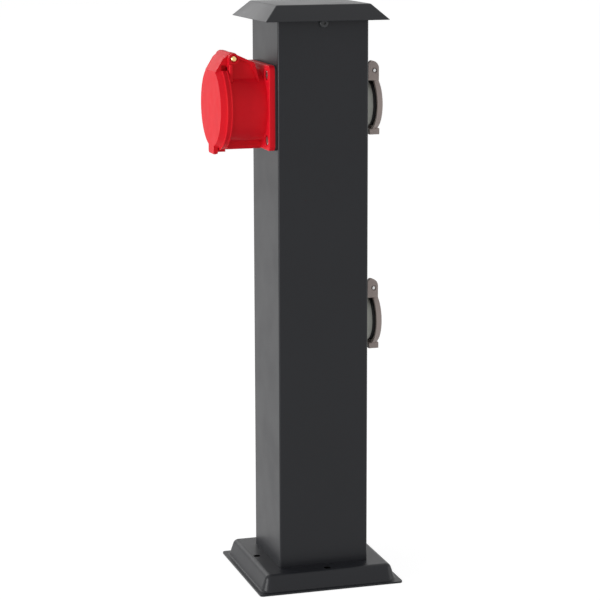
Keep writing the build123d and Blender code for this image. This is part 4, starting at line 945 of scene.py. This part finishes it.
@dataclass
class AnchorHoleShade:
    """Painted shade: a thin near-black ring round the inside of the base's four anchor holes,
    which makes them look dark.
    """

    radius: float = 2.97
    skin: float = 0.05
    circle: float = 50
    low: float = 14.15
    high: float = 15.5
    steps: int = 48

    def build(self) -> None:
        """Lines each hole with a thin ring of painted shade, whose profile is a closed loop of
        four points.
        """
        profile = rectangle((self.radius - self.skin, self.low), (self.radius, self.high))
        ring = revolved(profile, self.steps)
        centres = [(-self.circle, 0), (self.circle, 0), (0, -self.circle), (0, self.circle)]
        rings = [ring_surface(moved(ring, across=x, up=y), around=True) for x, y in centres]
        # the near-black skin is painted shade, standing in for the dark inside the holes
        new_piece("anchor_hole_painted_shade", rings, "graphite_coat", "post", skin="painted_hole_shade")


@dataclass
class RedSocket:
    """Large red socket on the left face, with its spring-loaded round lid.

    Fields ending in out are measured from the column's face, and those in up or low from
    the socket's middle. The lid's front is given in the row frame.
    """

    plane: FacePlane = FacePlane(side=-1, height=417.8)
    barrel_radius: float = 31
    pin_out: float = 33.1
    pin_up: float = 41.4
    spring_leg: float = 6
    ear_outer: float = 22
    ear_rib_low: Pair = (34.5, -1.7)
    ear_rib_high: Pair = (37.7, 1.1)
    ear_rib_drops: Pair = (19.6, 4.6)
    skirt_radius: float = 37
    beads: tuple[Pair, ...] = ((42.5, 0.85), (38.7, 0.75))
    bead_sink: float = 0.12
    bead_start: float = 20
    bead_steps: int = 145
    tab_low: float = 40
    tab_ribs_out: Pair = (45.3, 46.5)
    tab_rib_half: float = 6.5
    tab_rib_width: float = 0.6
    tab_rib_height: float = 0.9
    lid_front: float = -88.5
    hood_half: float = 17.4
    hood_round: float = 2.6
    tab_round: float = 3.5

    def tab_ribs(self) -> list[Surface]:
        """Grip ribs across the finger tab's underside, half sunk into it.

        Returns:
            One surface for each rib.
        """
        high = self.tab_rib_height
        corners = rectangle((-self.tab_rib_half, 0), (self.tab_rib_half, high))
        outline = rounded_outline(corners, radii=[0.3, 0.3, 0.3, 0.3], steps=4)
        surfaces = []
        for out in self.tab_ribs_out:
            levels = soft_levels(out, out + self.tab_rib_width, radius=0.2, steps=3)
            rib = moved(prism(outline, levels), up=-self.tab_low - high / 2)
            surfaces.append(ring_surface(self.plane.place(rib)))
        return surfaces

    def ear_ribs(self) -> list[Surface]:
        """Rounded ribs up the front edge of each hinge ear, from its foot to below the pin.

        Returns:
            One surface for each ear.
        """
        low, high = (self.pin_up - drop for drop in self.ear_rib_drops)
        corners = rectangle(self.ear_rib_low, self.ear_rib_high)
        outline = rounded_outline(corners, radii=[0.4, 1.5, 0.4, 0.4], steps=7)
        rings = prism(outline, soft_levels(low, high, radius=0.7, steps=4))
        surfaces = []
        for side in (-1, 1):
            across = side * (self.ear_outer - 0.5 - rings[..., 1])
            points = np.stack([across, rings[..., 2], rings[..., 0]], axis=-1)
            surfaces.append(ring_surface(self.plane.place(points)))
        return surfaces

    def skirt_beads(self) -> list[Surface]:
        """Two fine half-round beads round the lid's skirt, from notch to notch under the hood.

        A bead's middle line is the arc (radius sin t, radius cos t), where t = 0 is straight up
        and the arc starts where the skirt's radius times sin t reaches the notch's outer side.

        Returns:
            One surface for each bead.
        """
        surfaces = []
        start = math.asin(self.bead_start / self.skirt_radius)
        turn = np.linspace(start, FULL_TURN - start, self.bead_steps)
        radius = self.skirt_radius - self.bead_sink
        arc = [radius * np.sin(turn), radius * np.cos(turn)]
        for out, bead_radius in self.beads:
            path = np.stack([*arc, np.full(turn.shape, out)], 1)
            rings = tube(path, bead_radius, across=np.array([0, 0, 1.0]), sides=10)
            surfaces.append(ring_surface(self.plane.place(rings)))
        return surfaces

    def lid_zones(self) -> tuple[RoundZone, ...]:
        """Where the lid is rounder than elsewhere: the hood's front and top, the tab's corners.

        Returns:
            The zones, in the row frame.
        """
        front, wide, middle = self.lid_front, self.hood_half, self.plane.height
        foot, rise = middle - self.tab_low - 1, middle - self.tab_low + 1
        return (
            RoundZone((front, -wide, middle + 32), (-83.9, wide, middle + 40), self.hood_round),
            RoundZone((front, -wide, middle + 40), (-74, wide, middle + 48), self.hood_round),
            RoundZone((front, 3, foot), (-78, 9, rise), self.tab_round),
            RoundZone((front, -9, foot), (-78, -3, rise), self.tab_round),
        )

    def build(self) -> None:
        """Makes the rounded mouldings, the spring and the small details."""
        softened("red_housing", "red_plastic", "post", radius=0.45)
        softened("red_lid", "red_plastic", "red_cover", radius=0.5, zones=self.lid_zones())
        softened("red_insert", "black_plastic", "post", radius=0.4)
        new_piece("red_tab_ribs", self.tab_ribs(), "red_plastic", "red_cover")
        new_piece("red_lid_beads", self.skirt_beads(), "red_plastic", "red_cover")
        new_piece("red_ear_ribs", self.ear_ribs(), "red_plastic", "post")
        HingeSpring(
            name="red_lid_spring",
            cover="red_cover",
            plane=self.plane,
            pin_out=self.pin_out,
            pin_up=self.pin_up,
            housing_radius=self.barrel_radius,
            lid_leg=self.spring_leg,
            coil_radius=3.4,
            wire_radius=0.45,
            pitch=1.9,
        ).build()


class OutletPlace(Enum):
    """The two outlets of the right face, by name and centre height."""

    UPPER = ("upper", 416.8)
    LOWER = ("lower", 227.2)


@dataclass
class PanelOutlet:
    """Small outlet with a round spring-loaded lid."""

    place: OutletPlace
    pin_out: float = 11.4
    pin_up: float = 29.45
    bar_top: float = 24.95
    collar_radius: float = 21
    spring_wire: float = 0.3

    def build(self) -> None:
        """Makes the rounded mouldings and the spring, whose lid leg ends on the lid's bar."""
        side, height = self.place.value
        softened(f"{side}_housing", "collar_grey", "post", radius=0.35)
        softened(f"{side}_lid", "lid_taupe", f"{side}_cover", radius=0.35)
        softened(f"{side}_insert", "insert_grey", "post", radius=0.3)
        HingeSpring(
            name=f"{side}_lid_spring",
            cover=f"{side}_cover",
            plane=FacePlane(side=1, height=height),
            pin_out=self.pin_out,
            pin_up=self.pin_up,
            housing_radius=self.collar_radius,
            lid_leg=self.pin_up - self.bar_top - self.spring_wire,
            coil_radius=2.5,
            wire_radius=self.spring_wire,
            pitch=1.5,
        ).build()


@dataclass
class CarriedNodes:
    """CAD nodes that keep their shape and get their finish."""

    def build(self) -> None:
        """Gives each CAD node the material of its slot."""
        for entry in frame["record"]["subparts"]:
            mesh = frame["nodes"][entry["node"]].data
            mesh.materials.clear()
            mesh.materials.append(finish(entry["material_slot"]))


# ---------------------------------------------------------------- studio


def calculated(
    tree: bpy.types.NodeTree, operation: str, *values: Socket | float, clamp: bool = False
) -> Socket:
    """Adds a math node.

    Args:
        tree: Node tree to add to.
        operation: Blender's name of the operation.
        values: A socket or a number for each input.
        clamp: Whether the result is kept from 0 to 1.

    Returns:
        The result.
    """
    node = tree.nodes.new("ShaderNodeMath")
    node.operation = operation
    node.use_clamp = clamp
    for value, target in zip(values, node.inputs):
        if isinstance(value, Socket):
            tree.links.new(value, target)
        else:
            target.default_value = value
    return node.outputs[0]


def white_for_sight(tree: bpy.types.NodeTree) -> Socket:
    """Value that is 1 for rays that show the surroundings directly, mirrored or through glass.

    Args:
        tree: Node tree to add to.

    Returns:
        The value.
    """
    rays = tree.nodes.new("ShaderNodeLightPath").outputs
    seen = calculated(tree, "MAXIMUM", rays["Is Camera Ray"], rays["Is Glossy Ray"])
    return calculated(tree, "MAXIMUM", seen, rays["Is Transmission Ray"])


@dataclass(frozen=True)
class PaleFloor:
    """Wide pale floor: matt where it lights the post, nearly white where it is seen.

    Its sizes are in metres, apart from the base's inner half-width, in millimetres.
    """

    half: float = 9
    sunk: float = 0.0003
    base_inner: float = 60
    matt: float = 0.88
    glow: float = 0.86
    shadowed: float = 0.3

    def under_post(self, tree: bpy.types.NodeTree) -> Socket:
        """Value that is 1 on the floor under the base, where its holes let one see the dark.

        Args:
            tree: Node tree to add to.

        Returns:
            The value: 1 where the larger of |x| and |y| is under the base's inner half-width.
        """
        split = tree.nodes.new("ShaderNodeSeparateXYZ")
        tree.links.new(tree.nodes.new("ShaderNodeTexCoord").outputs["Object"], split.inputs[0])
        sides = [calculated(tree, "ABSOLUTE", split.outputs[axis]) for axis in ("X", "Y")]
        larger = calculated(tree, "MAXIMUM", *sides)
        return calculated(tree, "LESS_THAN", larger, self.base_inner * MM)

    def grey(self, tree: bpy.types.NodeTree, kind: str, tone: float) -> Socket:
        """Adds a grey shader.

        Args:
            tree: Node tree to add to.
            kind: Blender's type name of the shader.
            tone: Its tone, from 0 to 1.

        Returns:
            The shader's output.
        """
        shader = tree.nodes.new(kind)
        shader.inputs["Color"].default_value = (tone, tone, tone, 1)
        return shader.outputs[0]

    def material(self) -> bpy.types.Material:
        """Makes the floor's material, which glows where it is seen and keeps a faint shadow.

        Returns:
            The material.
        """
        material = bpy.data.materials.new("pale_floor")
        material.use_nodes = True
        tree = material.node_tree
        tree.nodes.clear()
        output = tree.nodes.new("ShaderNodeOutputMaterial")
        white = tree.nodes.new("ShaderNodeAddShader")
        tree.links.new(self.grey(tree, "ShaderNodeBsdfDiffuse", self.shadowed), white.inputs[0])
        tree.links.new(self.grey(tree, "ShaderNodeEmission", self.glow), white.inputs[1])
        parts = white_for_sight(tree), self.under_post(tree)
        mix = tree.nodes.new("ShaderNodeMixShader")
        tree.links.new(calculated(tree, "SUBTRACT", *parts, clamp=True), mix.inputs[0])
        tree.links.new(self.grey(tree, "ShaderNodeBsdfDiffuse", self.matt), mix.inputs[1])
        tree.links.new(white.outputs[0], mix.inputs[2])
        tree.links.new(mix.outputs[0], output.inputs["Surface"])
        return material

    def build(self) -> None:
        """Lays the floor."""
        mesh = bpy.data.meshes.new("floor")
        square = rectangle((-self.half, -self.half), (self.half, self.half))
        mesh.from_pydata([(*corner, -self.sunk) for corner in square], [], [(0, 1, 2, 3)])
        mesh.materials.append(self.material())
        floor = stand("floor", mesh)


@dataclass(frozen=True)
class SoftLamp:
    """Soft square lamp that faces the post. Places and width are in metres, power in watts."""

    name: str
    spot: Point
    width: float
    power: float
    target: Point = (0, 0, 0.28)

    def build(self) -> None:
        """Hangs the lamp, which lights the post and isn't seen."""
        data = bpy.data.lights.new(self.name, "AREA")
        data.shape = "SQUARE"
        data.size = self.width
        data.energy = self.power
        lamp = stand(self.name, data)
        lamp.visible_camera = False
        lamp.location = self.spot
        sight = Vector(self.target) - Vector(self.spot)
        lamp.rotation_euler = sight.to_track_quat("-Z", "Y").to_euler()


@dataclass(frozen=True)
class Surroundings:
    """The world round the studio: white where it is seen, and softer where it lights."""

    seen: float = 1
    light: float = 0.48

    def build(self) -> None:
        """Makes the world."""
        world = bpy.data.worlds.new("studio")
        bpy.context.scene.world = world
        world.use_nodes = True
        tree = world.node_tree
        tree.nodes.clear()
        output = tree.nodes.new("ShaderNodeOutputWorld")
        back = tree.nodes.new("ShaderNodeBackground")
        back.inputs["Color"].default_value = (1, 1, 1, 1)
        strength = tree.nodes.new("ShaderNodeMapRange")
        strength.inputs["To Min"].default_value = self.light
        strength.inputs["To Max"].default_value = self.seen
        tree.links.new(white_for_sight(tree), strength.inputs["Value"])
        tree.links.new(strength.outputs["Result"], back.inputs["Strength"])
        tree.links.new(back.outputs[0], output.inputs["Surface"])


@dataclass(frozen=True)
class PhotoCamera:
    """The photograph's camera: its place in metres, angles in degrees and lens in millimetres."""

    eye: Point = (-0.5366, -1.7500, 0.6038)
    yaw: float = 16.769
    pitch: float = 11.092
    roll: float = -0.161
    lens: float = 127.63
    sensor: float = 36
    reach: float = 50

    def build(self) -> None:
        """Puts the camera where the photograph was taken."""
        data = bpy.data.cameras.new("camera")
        data.lens = self.lens
        data.sensor_width = self.sensor
        data.clip_end = self.reach
        camera = stand("camera", data)
        nod, swing = math.radians(90 - self.pitch), math.radians(-self.yaw)
        turn = Euler((nod, 0, swing)).to_matrix().to_4x4()
        tilt = Matrix.Rotation(math.radians(self.roll), 4, "Z")
        camera.matrix_world = Matrix.Translation(self.eye) @ turn @ tilt
        bpy.context.scene.camera = camera


@dataclass(frozen=True)
class Studio:
    """Pale floor, white surroundings, soft lights and the photograph's camera."""

    floor: PaleFloor = PaleFloor()
    surroundings: Surroundings = Surroundings()
    lamps: tuple[SoftLamp, ...] = (
        SoftLamp("key", (-2.2, -0.5, 0.5), width=0.9, power=28),
        SoftLamp("fill", (2.0, -1.0, 0.6), width=1.2, power=8),
        SoftLamp("rim", (-0.6, 2.2, 1.2), width=1.0, power=4),
    )
    camera: PhotoCamera = PhotoCamera()

    def build(self) -> None:
        """Sets up the whole studio."""
        for part in (self.floor, self.surroundings, *self.lamps, self.camera):
            part.build()
        bpy.context.scene.view_settings.view_transform = "Standard"


def main() -> None:
    """Builds and dresses the post, then its studio."""
    CarriedNodes().build()
    Cap().build()
    AnchorHoleShade().build()
    RedSocket().build()
    for place in OutletPlace:
        PanelOutlet(place).build()
    Studio().build()


if __name__ == "__main__":
    main()
